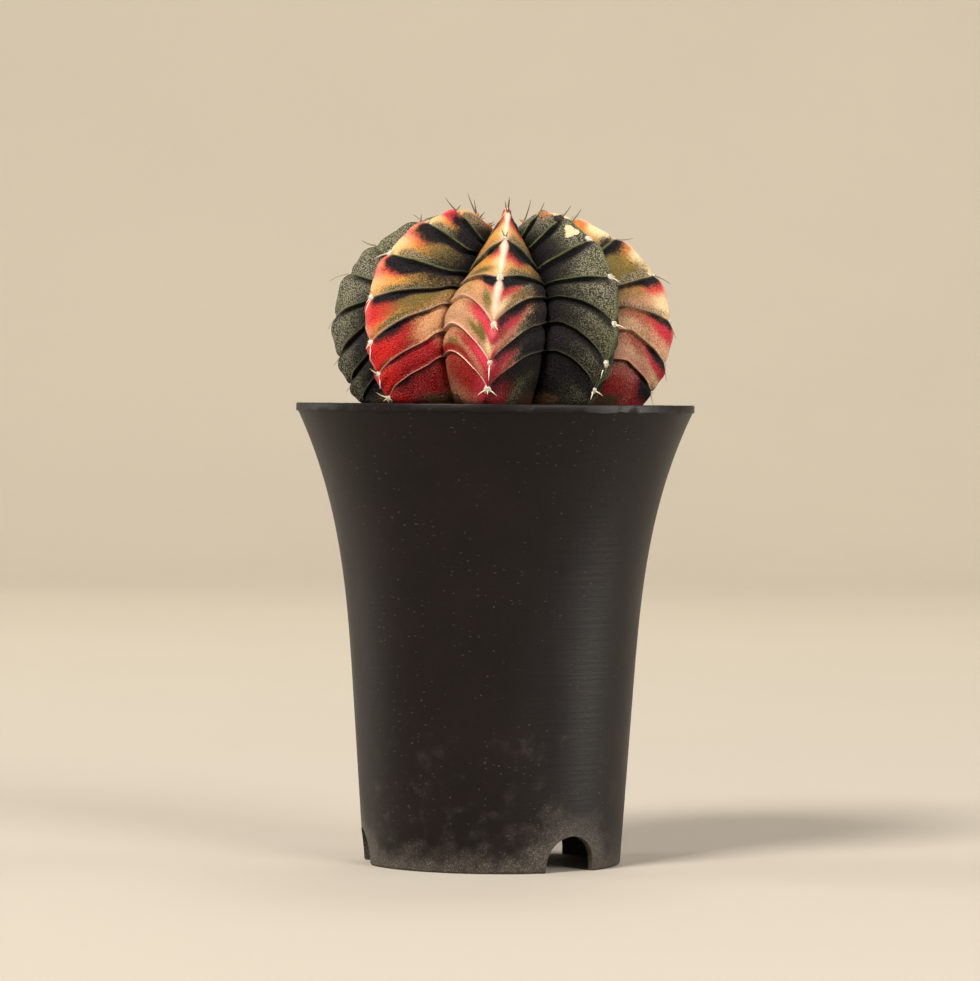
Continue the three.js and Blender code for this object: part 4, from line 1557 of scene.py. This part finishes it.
        leaning = smoothstep(self.foot_height, 3, height)
        back = -self.lean_back * leaning
        right = self.lean_right * leaning
        x = np.sin(azimuth) * radius
        y = -np.cos(azimuth) * radius
        z = height - self.foot_height
        y, z = y * np.cos(back) - z * np.sin(back), y * np.sin(back) + z * np.cos(back)
        x, z = x * np.cos(right) + z * np.sin(right), z * np.cos(right) - x * np.sin(right)
        return np.stack([x, y, z + self.foot_height], axis=-1)

    def relief(self, across: np.ndarray, band: np.ndarray) -> np.ndarray:
        """Return how far the ridges, recesses, swellings, notches and chins stand out."""
        below = np.ceil(band) - band
        nearest = np.minimum(below, 1 - below)
        ridge = self.ridge_height * hump(nearest, 0, self.ridge_width)
        recess = self.recess_depth * hump(below, *self.recess_place)
        swell = self.swell_height * hump(below, *self.swell_place)
        notch = self.notch_depth * hump(nearest, 0, self.notch_width)
        chin = self.chin_height * hump(below, *self.chin_place)
        on_flank = smoothstep(0.05, 0.35, np.abs(across))
        fading = 1 - smoothstep(*self.last_ridge, band)
        return mix(chin - notch, ridge - recess + swell, on_flank) * fading

    def body_normal(self, around: np.ndarray, latitude: np.ndarray) -> np.ndarray:
        """Return the outward unit normals of the smooth body."""
        step = self.normal_step
        left, right = (self.body_point(around + move, latitude) for move in (-step, step))
        low, high = (self.body_point(around, latitude + move) for move in (-1, 1))
        normal = np.cross(right - left, high - low)
        length = np.linalg.norm(normal, axis=-1, keepdims=True)
        return normal / np.maximum(length, 1e-9)

    def skin_point(self, around: np.ndarray, band: np.ndarray) -> np.ndarray:
        """Return points of the skin, with its relief."""
        latitude = self.band_latitude(around, band)
        across = self.rib_at(around)[2]
        out = self.body_normal(around, latitude) * self.relief(across, band)[..., None]
        return self.body_point(around, latitude) + out

    def to_row(self, points: np.ndarray) -> np.ndarray:
        """Return points about the plant's axis at the rim as points of the whole object."""
        return points + np.array([self.plant_x, self.plant_y, self.rim_height])


@dataclass
class Stem:
    """The ribbed globe's fine skin, with its pigments and its painted shade."""

    form: StemForm
    per_rib: int = 46
    per_band: int = 29
    highest: int = 4
    lowest_band: float = -2.12
    crown_rows: int = 16
    under_rows: int = 22
    gather: float = 0.6
    root_depth: float = 12.0
    below_rim: float = 7.0
    root_tip_radius: float = 12.5
    crown_margin: float = 0.08
    crown_level: float = 0.35
    foot_level: float = -2.9
    crest_blend: float = 0.05
    # How dark the painted shade is under each cross ridge, in the grooves, deep in them and near
    # the rim.
    ridge_shade: float = 0.6
    groove_shade: float = 0.9
    depth_shade: float = 0.25
    rim_shade: float = 0.5
    cork_share: float = 0.95

    def columns(self) -> np.ndarray:
        """Return the places round the plant, closer together at crests and grooves."""
        base = np.arange(self.per_rib * len(RIBS)) / self.per_rib
        nearest = np.round(base)
        across = 2 * (base - nearest)
        across = across - self.gather / (2 * math.pi) * np.sin(2 * math.pi * across)
        return nearest + across / 2

    def bands(self) -> np.ndarray:
        """Return the bands from the crown down, closer together at the ridges."""
        first = self.highest + self.crown_margin
        steps = int((first - self.lowest_band) * self.per_band)
        base = np.linspace(first, self.lowest_band, steps)
        shifted = base + 0.03
        return base - self.gather / (2 * math.pi) * np.sin(2 * math.pi * shifted)

    def rows(self) -> tuple[np.ndarray, np.ndarray]:
        """Return every point of the skin, in rows from the crown down.

        Returns:
            The points, and the band of each, both by row and column.
        """
        form = self.form
        around = self.columns()
        bands = self.bands()
        points, levels = [], []
        first = form.band_latitude(around, np.full_like(around, bands[0]))
        for i in range(self.crown_rows):
            place = around if i else np.zeros_like(around)
            share = i / self.crown_rows
            points.append(form.body_point(place, mix(90, first, share)))
            level = mix(bands[0] + self.crown_level, bands[0], share)
            levels.append(np.full_like(around, level))
        for band in bands:
            level = np.full_like(around, band)
            points.append(form.skin_point(around, level))
            levels.append(level)
        foot = math.degrees(math.asin((form.foot_height - form.waist_height) / form.under_drop))
        start = form.band_latitude(around, np.full_like(around, bands[-1]))
        lift = form.chevron_lift(np.full_like(around, foot), around)
        for i in range(1, self.under_rows + 1):
            share = i / self.under_rows
            points.append(form.body_point(around, mix(start, foot - lift, share)))
            levels.append(np.full_like(around, mix(bands[-1], self.foot_level, share)))
        ring = form.body_point(around, np.full_like(around, foot))
        azimuth = np.arctan2(ring[:, 0], -ring[:, 1])
        tip = -self.below_rim - self.root_depth
        for radius, height in (
            (form.foot_radius, form.foot_height - 3),
            (self.root_tip_radius, tip),
            (0.0, tip),
        ):
            x, y = np.sin(azimuth) * radius, -np.cos(azimuth) * radius
            points.append(np.stack([x, y, np.full_like(azimuth, height)], axis=-1))
            levels.append(np.full_like(around, self.foot_level))
        return np.array(points), np.array(levels)

    def pigments(
        self, around: np.ndarray, band: np.ndarray, height: np.ndarray
    ) -> dict[str, np.ndarray]:
        """Return every pigment's value, and the painted shade, at places on the skin.

        Args:
            around: places round the plant.
            band: their bands.
            height: their heights above the rim.

        Returns:
            Arrays by the names that the skin's finish reads.
        """
        form = self.form
        rib, _, across, side = form.rib_at(around)
        below = np.ceil(band) - band
        level = form.latitude_of(band + form.of_rib("shift", rib))
        inward = np.abs(across)
        own = 0.5 + 0.5 * np.clip(inward / self.crest_blend, 0, 1)
        flank = self._flank(rib, side > 0, below, inward, level)
        over_crest = self._flank(rib, side < 0, below, inward, level)
        values = {name: mix(over_crest[name], flank[name], own) for name in flank}

        between_ridges = smoothstep(0.0, 0.15, below) * (1 - smoothstep(0.85, 1.0, below))
        stripe = form.of_rib("stripe", rib) * smoothstep(-12, 12, level)
        values["stripe"] = stripe * between_ridges
        values["keel"] = form.of_rib("keel", rib)
        values["ridged"] = (1 - smoothstep(4.05, 4.2, band)) * smoothstep(-2.6, -2.2, band)
        # Painted shade under each cross ridge, in the grooves and near the rim.
        under_ridge = self.ridge_shade * hump(below, 0.05, 0.09) * smoothstep(0.05, 0.3, inward)
        in_groove = self.groove_shade * smoothstep(0.6, 1.0, inward) * smoothstep(-30, 25, level)
        in_groove = in_groove + self.depth_shade * smoothstep(0.85, 1.0, inward)
        near_rim = (1 - smoothstep(-3, 6, height)) * smoothstep(0.3, 0.8, inward)
        values["fold"] = np.clip(under_ridge + in_groove + self.rim_shade * near_rim, 0, 1)
        corky = smoothstep(0.35, 0.75, inward) * (1 - smoothstep(0.5, 4, height))
        values["cork"] = self.cork_share * corky
        values["scar"] = np.zeros_like(band)
        for (rib_number, pigment), patches in PATCHES.items():
            for patch in patches:
                off = 2 * (around - rib_number) - patch.across
                spot = hump(off, 0, patch.wide) * hump(band, patch.band, patch.tall)
                values[pigment] = values[pigment] + patch.strength * spot
        return values

    @staticmethod
    def _flank(
        rib: np.ndarray, right: np.ndarray, below: np.ndarray, inward: np.ndarray, level: np.ndarray
    ) -> dict[str, np.ndarray]:
        """Return the pigments of a flank.

        Args:
            rib: the rib's number at each place.
            right: whether its right flank is meant.
            below: how far the place lies below the cross ridge above it, in bands.
            inward: how far from the crest, from 0 to 1 in the groove.
            level: the latitude in degrees.

        Returns:
            Arrays by the pigments' names.
        """
        high = smoothstep(-38, 40, level)

        def of(name: str) -> np.ndarray:
            """Return one of the flank's values at each place's height."""
            flanks = [[getattr(tone.value, name) for tone in (r.left, r.right)] for r in RIBS]
            chosen = np.array(flanks, float)[rib, right.astype(int)]
            return mix(chosen[..., 0], chosen[..., 1], high) if chosen.ndim > 1 else chosen

        end = of("patch_end")
        reach = 1 - smoothstep(0.5 * end, 1.15 * end, inward)
        depth = of("patch_depth") * reach + of("tail") * smoothstep(0.1, 0.4, inward)
        soft = 0.32
        black = of("patch") * np.clip(0.5 + (depth - below) / soft, 0, 1)
        start = of("patch_start")
        black = black * smoothstep(start - 0.1, start, inward)
        # Gloom and shade add painted shade as well as pigment: over the flank and towards the
        # groove.
        black = black + of("gloom") + of("shade") * smoothstep(0.15, 1.0, inward)
        round_patch = hump(below, depth + 0.03, 0.2) * smoothstep(0.15, -0.3, inward - end)
        at_crest = 1.1 * hump(below, 0.18, 0.18) * (1 - smoothstep(0.05, 0.34, inward))
        fringe = of("fringe") * np.maximum(round_patch, at_crest)
        rising = smoothstep(-34, -4, level)
        wide = mix(0.9, 0.35, rising)
        inner = smoothstep(0.3 * wide, 1.5 * wide, inward)
        flush = of("flush") * (1.3 - mix(0.1, 1.3, rising) * below - 1.2 * inner)
        cream_end = of("cream_end")
        cream = of("cream") * (1 - smoothstep(0.1 * cream_end, cream_end, inward))
        cream = cream * smoothstep(0.2, 0.55, below)
        low_edge = smoothstep(0.62, 0.95, below)
        lowest = 1 - smoothstep(-42, -4, level)
        middle = smoothstep(0.1, 0.6, inward)
        return {
            "green": of("green") * mix(1.0, smoothstep(0.15, 0.6, inward), of("inward")),
            "black": black,
            "red": fringe + flush,
            "gold": of("gold") * (1 - 0.45 * smoothstep(0.4, 1.0, inward)),
            "cream": cream,
            "olive": of("olive") * smoothstep(0.05, 0.6, inward),
            "verge": of("verge") * low_edge * smoothstep(0.02, 0.2, inward),
            "blush": of("blush"),
            "scarlet": of("scarlet"),
            "deep": np.clip(lowest * mix(0.45, 1.0, middle) + 0.6 * middle, 0, 1),
            "low": np.clip(of("flesh"), 0, 1),
        }

    def build(self, effects: Effects) -> list[bpy.types.Object]:
        """Return the finished stem, riding on the body in place of its solid."""
        points, levels = self.rows()
        around = self.columns()
        row_count, column_count = levels.shape
        shape = bmesh.new()
        bmesh.ops.create_uvsphere(
            shape, u_segments=column_count, v_segments=row_count - 1, radius=1.0
        )
        start = np.array([vert.co for vert in shape.verts])
        polar = np.arccos(np.clip(start[:, 2], -1, 1)) / math.pi
        row = np.round(polar * (row_count - 1)).astype(int)
        turn = np.arctan2(start[:, 1], start[:, 0]) / (2 * math.pi)
        column = np.round(turn * column_count).astype(int) % column_count
        column[(row == 0) | (row == row_count - 1)] = 0
        places = self.form.to_row(points[row, column])
        for vert, place in zip(shape.verts, places):
            vert.co = place
        piece = finish_piece(shape, "ribbed_stem", VariegatedSkin().build(effects))
        at_around, at_band = around[column], levels[row, column]
        heights = points[row, column][:, 2]
        for name, values in self.pigments(at_around, at_band, heights).items():
            hold(piece.data, name, values)
        self.map_skin(piece.data, at_around, at_band)
        join_frame(piece, "cactus_flesh", "cactus")
        return [piece]

    @staticmethod
    def map_skin(mesh: bpy.types.Mesh, around: np.ndarray, band: np.ndarray) -> None:
        """Give the mesh its Skin map: ribs round the plant and bands up it."""
        layer = mesh.uv_layers.new(name="Skin")
        corners = np.empty(len(mesh.loops), int)
        mesh.loops.foreach_get("vertex_index", corners)
        total = np.empty(len(mesh.polygons), int)
        mesh.polygons.foreach_get("loop_total", total)
        owner = np.repeat(np.arange(len(total)), total)
        u = around[corners]
        widest = np.full(len(total), -1.0)
        np.maximum.at(widest, owner, u)
        u = np.where(widest[owner] - u > len(RIBS) / 2, u + len(RIBS), u)
        uv = np.stack([u, band[corners]], axis=-1)
        layer.data.foreach_set("uv", uv.astype(np.float32).ravel())


@dataclass(frozen=True)
class Spine:
    """One spine of an areole.

    The tip is right of, behind and above the areole by these millimetres, and young runs from
    0, ivory, to 1, brown.
    """

    right: float
    back: float
    up: float
    young: float

    @property
    def bend(self) -> float:
        """How far its middle sags, as a share of its length; a drooping spine arches up."""
        return 0.06 if self.up > 0 else -0.07


# The spines of the front, by rib and band.
PORTRAIT_SPINES: dict[tuple[int, int], tuple[Spine, ...]] = {
    (0, 3): (Spine(-3.2, 0.2, 1.1, 0.8),),
    (0, 2): (Spine(-4.5, 0.3, -1.7, 0.5),),
    (0, 1): (Spine(-1.7, 0.2, -2.6, 0.35),),
    (0, 0): (Spine(-1.3, 0.2, -1.7, 0.3),),
    (0, -1): (Spine(-1.1, 0.2, -1.5, 0.2),),
    (1, 5): (Spine(-2.0, -0.3, 4.8, 1.0), Spine(-0.6, 0.0, 3.4, 1.0)),
    (1, 4): (Spine(-2.8, -0.8, 3.2, 0.95),),
    (1, 3): (Spine(-3.0, -0.8, 1.7, 0.6), Spine(-1.7, -1.0, 0.2, 0.5)),
    (1, 2): (Spine(-3.4, -1.6, -1.2, 0.15), Spine(-1.5, -0.9, -0.2, 0.1)),
    (1, 1): (Spine(-1.3, -1.4, -3.2, 0.1), Spine(-1.1, -1.0, -1.1, 0.1)),
    (1, 0): (Spine(-0.2, -1.2, -3.4, 0.1), Spine(-1.1, -1.0, -1.3, 0.1)),
    (1, -1): (Spine(0.2, -1.0, -3.0, 0.1), Spine(-2.1, -1.0, 1.3, 0.05)),
    (1, -2): (Spine(-3.0, -1.2, 1.3, 0.05), Spine(-1.3, -1.0, -0.6, 0.1)),
    (2, 4): (Spine(-0.4, -0.4, 2.6, 1.0), Spine(0.5, 0.0, 3.6, 1.0)),
    (2, 3): (Spine(0.4, -1.0, 3.2, 1.0), Spine(-0.4, -1.0, 2.1, 0.95)),
    (2, 2): (Spine(-0.9, -1.2, 1.9, 0.9), Spine(0.4, -1.4, 1.3, 0.8)),
    (2, 1): (Spine(0.4, -1.2, -0.6, 0.2),),
    (2, 0): (Spine(-0.6, -1.4, -0.9, 0.0), Spine(0.9, -1.5, -1.1, 0.0)),
    (2, -1): (Spine(-0.2, -1.3, -3.6, 0.0),),
    (2, -2): (
        Spine(-2.1, -1.2, -1.3, 0.0), Spine(1.9, -1.2, -1.3, 0.0), Spine(0.0, -1.4, -1.1, 0.0),
    ),
    (3, 5): (Spine(1.5, 0.0, 4.9, 1.0),),
    (3, 4): (Spine(1.3, 0.0, 2.8, 0.9),),
    (3, 3): (Spine(2.4, -0.6, 3.0, 0.9),),
    (3, 2): (Spine(1.7, -1.2, 0.6, 0.4),),
    (3, 1): (Spine(2.1, -1.5, -1.3, 0.0), Spine(1.1, -1.2, 0.0, 0.05)),
    (3, 0): (Spine(2.8, -1.5, -1.1, 0.1), Spine(1.1, -1.2, -0.6, 0.05)),
    (3, -1): (Spine(-0.9, -1.4, -3.0, 0.0),),
    (3, -2): (Spine(-0.6, -1.4, -1.9, 0.0), Spine(1.9, -1.3, -1.1, 0.0)),
    (4, 3): (Spine(1.9, 0.2, 2.6, 0.9),),
    (4, 2): (Spine(4.1, 0.3, 0.2, 0.75),),
    (4, 1): (Spine(3.8, 0.3, -1.9, 0.7),),
    (4, 0): (Spine(1.5, 0.2, -3.6, 0.55),),
    (4, -1): (Spine(0.6, 0.2, -3.6, 0.4),),
}


@dataclass
class Areoles:
    """The woolly areoles at the ends of the cross ridges, and their spines.

    A pair is the range of a random draw, but for the spines' lift, which goes from the lowest
    areole's to the crown's.
    """

    form: StemForm
    lowest: int = -2
    highest: int = 6
    tuft_radius: float = 0.72
    spine_radius: float = 0.19
    young_spine_radius: float = 0.18
    spine_sides: int = 5
    spine_steps: int = 5
    fibres: int = 12
    worn_ribs: tuple[int, ...] = (0, 4)
    bud_place: tuple[int, int] = (3, 3)
    bud_radius: float = 1.15
    felt_height: float = 1.25
    felt_depth: float = 0.7
    fibre_root: float = 0.07
    fibre_tip: float = 0.015
    tuft_size: Pair = (0.85, 1.15)
    tuft_lumps: Pair = (0.82, 1.18)
    fibre_lean: Pair = (0.2, 1.2)
    fibre_length: Pair = (0.5, 0.9)
    crown_band: int = 4
    spine_taper: float = 0.85
    spine_root: float = 0.5
    spine_gap: float = 0.8
    spine_lift: Pair = (-0.75, 0.4)
    spine_length: Pair = (2.4, 3.9)
    crown_spine_length: Pair = (1.4, 2.4)
    spine_bend: Pair = (-0.06, 0.08)
    spine_youth: Pair = (-0.2, 0.3)

    def frame(self, rib: int, band: int) -> tuple[Vector, Vector, Vector, Vector]:
        """Return an areole's place with its outward, upward and sideways directions."""
        form = self.form
        around, level = np.array([float(rib)]), np.array([float(band)])
        latitude = form.band_latitude(around, level)
        place = form.to_row(form.skin_point(around, level))[0]
        above = form.body_point(around, latitude + 1) - form.body_point(around, latitude - 1)
        out = Vector(form.body_normal(around, latitude)[0]).normalized()
        up = Vector(above[0]).normalized()
        return Vector(place), out, up, up.cross(out)

    def add_spine(
        self, shape: bmesh.types.BMesh, place: Vector, tip: Vector, bend: float, young: float
    ) -> None:
        """Add one tapered, slightly curved spine.

        Args:
            shape: the mesh that holds the spines, with its young and along values.
            place: where the spine grows from.
            tip: its tip, relative to that place.
            bend: how far its middle sags, as a share of its length.
            young: 0 for ivory, 1 for brown.
        """
        aim = tip.normalized()
        start = -self.spine_root / tip.length
        sag = (aim * aim.dot(UP) - UP) * bend * 4
        along_layer, young_layer = (shape.verts.layers.float[name] for name in ("along", "young"))
        ring = bmesh.ops.create_circle(
            shape, cap_ends=True, segments=self.spine_sides, matrix=upright_to(aim),
            radius=mix(self.spine_radius, self.young_spine_radius, young),
        )["verts"]
        edges = list({edge for vert in ring for edge in vert.link_edges})
        centre = Vector((0, 0, 0))
        width = 1.0
        for i in range(self.spine_steps + 1):
            along = mix(start, 1.0, i / self.spine_steps)
            if i:
                grown = bmesh.ops.extrude_edge_only(shape, edges=edges)["geom"]
                ring = [each for each in grown if isinstance(each, bmesh.types.BMVert)]
                inside = set(ring)
                edges = [
                    each for each in grown
                    if isinstance(each, bmesh.types.BMEdge) and inside.issuperset(each.verts)
                ]
            arch = max(0.0, along)
            target = tip * along + sag * tip.length * arch * (1 - arch)
            taper = max(0.1, 1 - self.spine_taper * arch**1.6)
            for vert in ring:
                vert.co = (vert.co - centre) * taper / width + target
                vert[along_layer] = arch
                vert[young_layer] = young
            centre, width = target, taper
            spine = ring if i == 0 else spine + ring
        shape.faces.new(ring)
        bmesh.ops.translate(shape, verts=spine, vec=place)

    def spines_of(
        self, rib: int, band: int, chance: np.random.Generator
    ) -> list[tuple[Vector, float, float]]:
        """Return the tip, bend and youth of each spine of an areole.

        Args:
            rib: the areole's rib.
            band: its band.
            chance: the source of the random draws.

        Returns:
            The tip relative to the areole, the bend and the youth of each spine.
        """
        portrait = PORTRAIT_SPINES.get((rib, band))
        if portrait:
            return [(Vector((s.right, s.back, s.up)), s.bend, s.young) for s in portrait]
        _, out, up, side = self.frame(rib, band)
        height = (band - self.lowest) / (self.crown_band - self.lowest)
        count = int(chance.choice([1, 2, 2])) if band <= self.crown_band else 1
        found = []
        for i in range(count):
            spread = (i - (count - 1) / 2) * self.spine_gap + chance.uniform(-0.15, 0.15)
            lift = mix(*self.spine_lift, height) + chance.uniform(-0.2, 0.2)
            aim = (out + up * lift + side * spread).normalized()
            low = band < self.crown_band
            length = chance.uniform(*(self.spine_length if low else self.crown_spine_length))
            bend = chance.uniform(*self.spine_bend)
            young = float(np.clip(height + chance.uniform(*self.spine_youth), 0, 1))
            found.append((aim * length, bend, young))
        return found

    def build(self, effects: Effects) -> list[bpy.types.Object]:
        """Return the spines and the wool, riding on the body in place of the solid's."""
        chance = np.random.default_rng(SEED + 1)
        spines = bmesh.new()
        wool = bmesh.new()
        for shape, names in ((spines, ("young", "along")), (wool, ("young",))):
            for name in names:
                shape.verts.layers.float.new(name)
        for rib in range(len(RIBS)):
            for band in range(self.highest, self.lowest - 1, -1):
                place = self.frame(rib, band)[0]
                for tip, bend, young in self.spines_of(rib, band, chance):
                    self.add_spine(spines, place, tip, bend, young)
                self.add_tuft(wool, rib, band, chance)
        pieces = [
            finish_piece(spines, "areole_spines", Horn().build(effects)),
            finish_piece(wool, "areole_wool", Wool().build(effects)),
        ]
        for piece in pieces:
            join_frame(piece, "cactus_flesh", "cactus")
        return pieces

    def add_tuft(
        self, wool: bmesh.types.BMesh, rib: int, band: int, chance: np.random.Generator
    ) -> None:
        """Add one areole's felt: a lumpy pad with short fibres standing out of it.

        Args:
            wool: the mesh that holds the felt, with its young values.
            rib: the areole's rib.
            band: its band.
            chance: the source of the random draws.
        """
        place, out, up, side = self.frame(rib, band)
        young = float(smoothstep(2.5, 5, band))
        size = self.tuft_radius * chance.uniform(*self.tuft_size) * (1.0 if band < 3 else 0.6)
        size *= 0.5 if rib in self.worn_ribs else 1.0
        if (rib, band) == self.bud_place:
            young, size = 2.0, self.bud_radius
        basis = Matrix((side, up, out)).transposed().to_4x4()
        made = bmesh.ops.create_icosphere(wool, subdivisions=2, radius=size)["verts"]
        for vert in made:
            vert.co *= chance.uniform(*self.tuft_lumps)
            vert.co.y *= self.felt_height
            vert.co.z *= self.felt_depth
        for _ in range(self.fibres):
            turn, lean = chance.uniform(0, 2 * math.pi), chance.uniform(*self.fibre_lean)
            level = math.sin(lean)
            aim = Vector((math.sin(turn) * level, math.cos(turn) * level, math.cos(lean)))
            fibre = bmesh.ops.create_cone(
                wool, cap_ends=False, segments=3, depth=chance.uniform(*self.fibre_length),
                radius1=self.fibre_root, radius2=self.fibre_tip,
            )["verts"]
            stand = Matrix.Translation(aim * size * 0.8) @ upright_to(aim)
            bmesh.ops.transform(wool, verts=fibre, matrix=stand)
            made += fibre
        settle = Matrix.Translation(place + out * 0.1) @ basis
        bmesh.ops.transform(wool, verts=made, matrix=settle)
        for vert in made:
            vert[wool.verts.layers.float["young"]] = young


class Glow(Enum):
    """What a light adds: all of its light, only its reflection, or only its soft light."""

    FULL = (True, True)
    SHINE = (False, True)
    SOFT = (True, False)


@dataclass(frozen=True)
class Softbox:
    """One area light; places are in metres and the power in watts."""

    name: str
    azimuth: float
    elevation: float
    distance: float
    width: float
    height: float
    power: float
    glow: Glow = Glow.FULL
    colour: Triple = (1.0, 0.95, 0.87)

    def build(self, aim: Vector) -> None:
        """Make the light, facing the given place."""
        lamp = bpy.data.lights.new(self.name, "AREA")
        lamp.shape = "RECTANGLE"
        lamp.size = self.width
        lamp.size_y = self.height
        lamp.energy = self.power
        lamp.color = self.colour
        rise = math.radians(self.elevation)
        away = heading(math.radians(self.azimuth)) * math.cos(rise) + Vector((0, 0, math.sin(rise)))
        light = bpy.data.objects.new(self.name, lamp)
        light.location = aim + away * self.distance
        light.rotation_euler = (-away).to_track_quat("-Z", "Y").to_euler()
        light.visible_diffuse, light.visible_glossy = self.glow.value
        bpy.context.scene.collection.objects.link(light)


@dataclass
class Studio:
    """The pale ground, the soft lights and the camera; sizes are in metres."""

    camera_place: Triple = (-0.001, -1.040, 0.098)
    camera_tilt: float = math.radians(90 - 1.02)
    camera_roll: float = math.radians(0.47)
    focal_pixels: float = 4865.0
    photo_width: float = 980.0
    ground_front: float = -3.0
    ground_back: float = 1.6
    sweep_radius: float = 1.4
    sweep_steps: int = 24
    wall_top: float = 4.0
    ground_half_width: float = 4.0
    sensor_width: float = 36.0
    sky: str = "FFF4E2"
    sky_strength: float = 0.1
    softboxes: tuple[Softbox, ...] = (
        Softbox("key", -34, 42, 3.2, 0.9, 0.9, 140),
        Softbox("fill", 36, 26, 3.0, 1.2, 1.2, 60),
        Softbox("right_wall", 82, 5, 1.3, 0.45, 1.3, 36, Glow.SHINE),
        Softbox("left_wall", -116, 5, 1.3, 0.6, 1.3, 8, Glow.SHINE),
        Softbox("right_fill", 100, 8, 1.3, 0.5, 1.2, 6, Glow.SOFT),
        Softbox("left_fill", -98, 2, 1.3, 0.5, 1.2, 20, Glow.SOFT),
        Softbox("overhead", 165, 60, 3.0, 1.2, 1.2, 22),
    )

    def build_ground(self, effects: Effects) -> None:
        """Make the floor and the sweep behind it."""
        shape = bmesh.new()
        points = [(self.ground_front, 0.0), (0.0, 0.0), (self.ground_back, 0.0)]
        for i in range(1, self.sweep_steps + 1):
            turn = i / self.sweep_steps * math.pi / 2
            back = self.ground_back + self.sweep_radius * math.sin(turn)
            points.append((back, self.sweep_radius * (1 - math.cos(turn))))
        points.append((self.ground_back + self.sweep_radius, self.wall_top))
        verts = [shape.verts.new((-self.ground_half_width, y, z)) for y, z in points]
        edges = [shape.edges.new(pair) for pair in zip(verts, verts[1:])]
        swept = bmesh.ops.extrude_edge_only(shape, edges=edges)["geom"]
        moved = [each for each in swept if isinstance(each, bmesh.types.BMVert)]
        bmesh.ops.translate(shape, verts=moved, vec=(2 * self.ground_half_width, 0, 0))
        bmesh.ops.recalc_face_normals(shape, faces=shape.faces)
        bmesh.ops.scale(shape, vec=TO_MILLIMETRES, verts=shape.verts)
        finish_piece(shape, "ground", Plaster().build(effects))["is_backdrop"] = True

    def build_camera(self) -> None:
        """Make the camera that sees the object as the photograph does."""
        lens = bpy.data.cameras.new("portrait")
        lens.sensor_width = self.sensor_width
        lens.lens = self.focal_pixels / self.photo_width * self.sensor_width
        camera = bpy.data.objects.new("portrait", lens)
        look = Matrix.Rotation(self.camera_tilt, 4, "X") @ Matrix.Rotation(self.camera_roll, 4, "Z")
        camera.matrix_world = Matrix.Translation(self.camera_place) @ look
        bpy.context.scene.collection.objects.link(camera)
        bpy.context.scene.camera = camera

    def build(self, effects: Effects) -> None:
        """Make everything round the object."""
        self.build_ground(effects)
        self.build_camera()
        low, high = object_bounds()
        for softbox in self.softboxes:
            softbox.build((low + high) / 2)
        world = bpy.data.worlds.new("soft_room")
        world.use_nodes = True
        sky = world.node_tree.nodes["Background"]
        sky.inputs["Color"].default_value = tint(self.sky)
        sky.inputs["Strength"].default_value = self.sky_strength
        bpy.context.scene.world = world
        bpy.context.scene.view_settings.view_transform = "Standard"


def main() -> None:
    """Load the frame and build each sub-assembly in order."""
    logging.basicConfig(level=logging.INFO, format="%(message)s")
    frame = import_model()
    log.info("frame nodes: %s", ", ".join(sorted(frame["nodes"])))
    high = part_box("pot")[1]
    effects = Effects()
    pot = Pot(height=high.z / MM, rim_radius=high.x / MM)
    form = StemForm(rim_height=pot.height)
    soil = Soil(pot, form.plant_x, form.plant_y)
    for sub_assembly in (pot, soil, Stem(form), Areoles(form)):
        for piece in sub_assembly.build(effects):
            report(piece)
    Studio().build(effects)


if __name__ == "__main__":
    main()
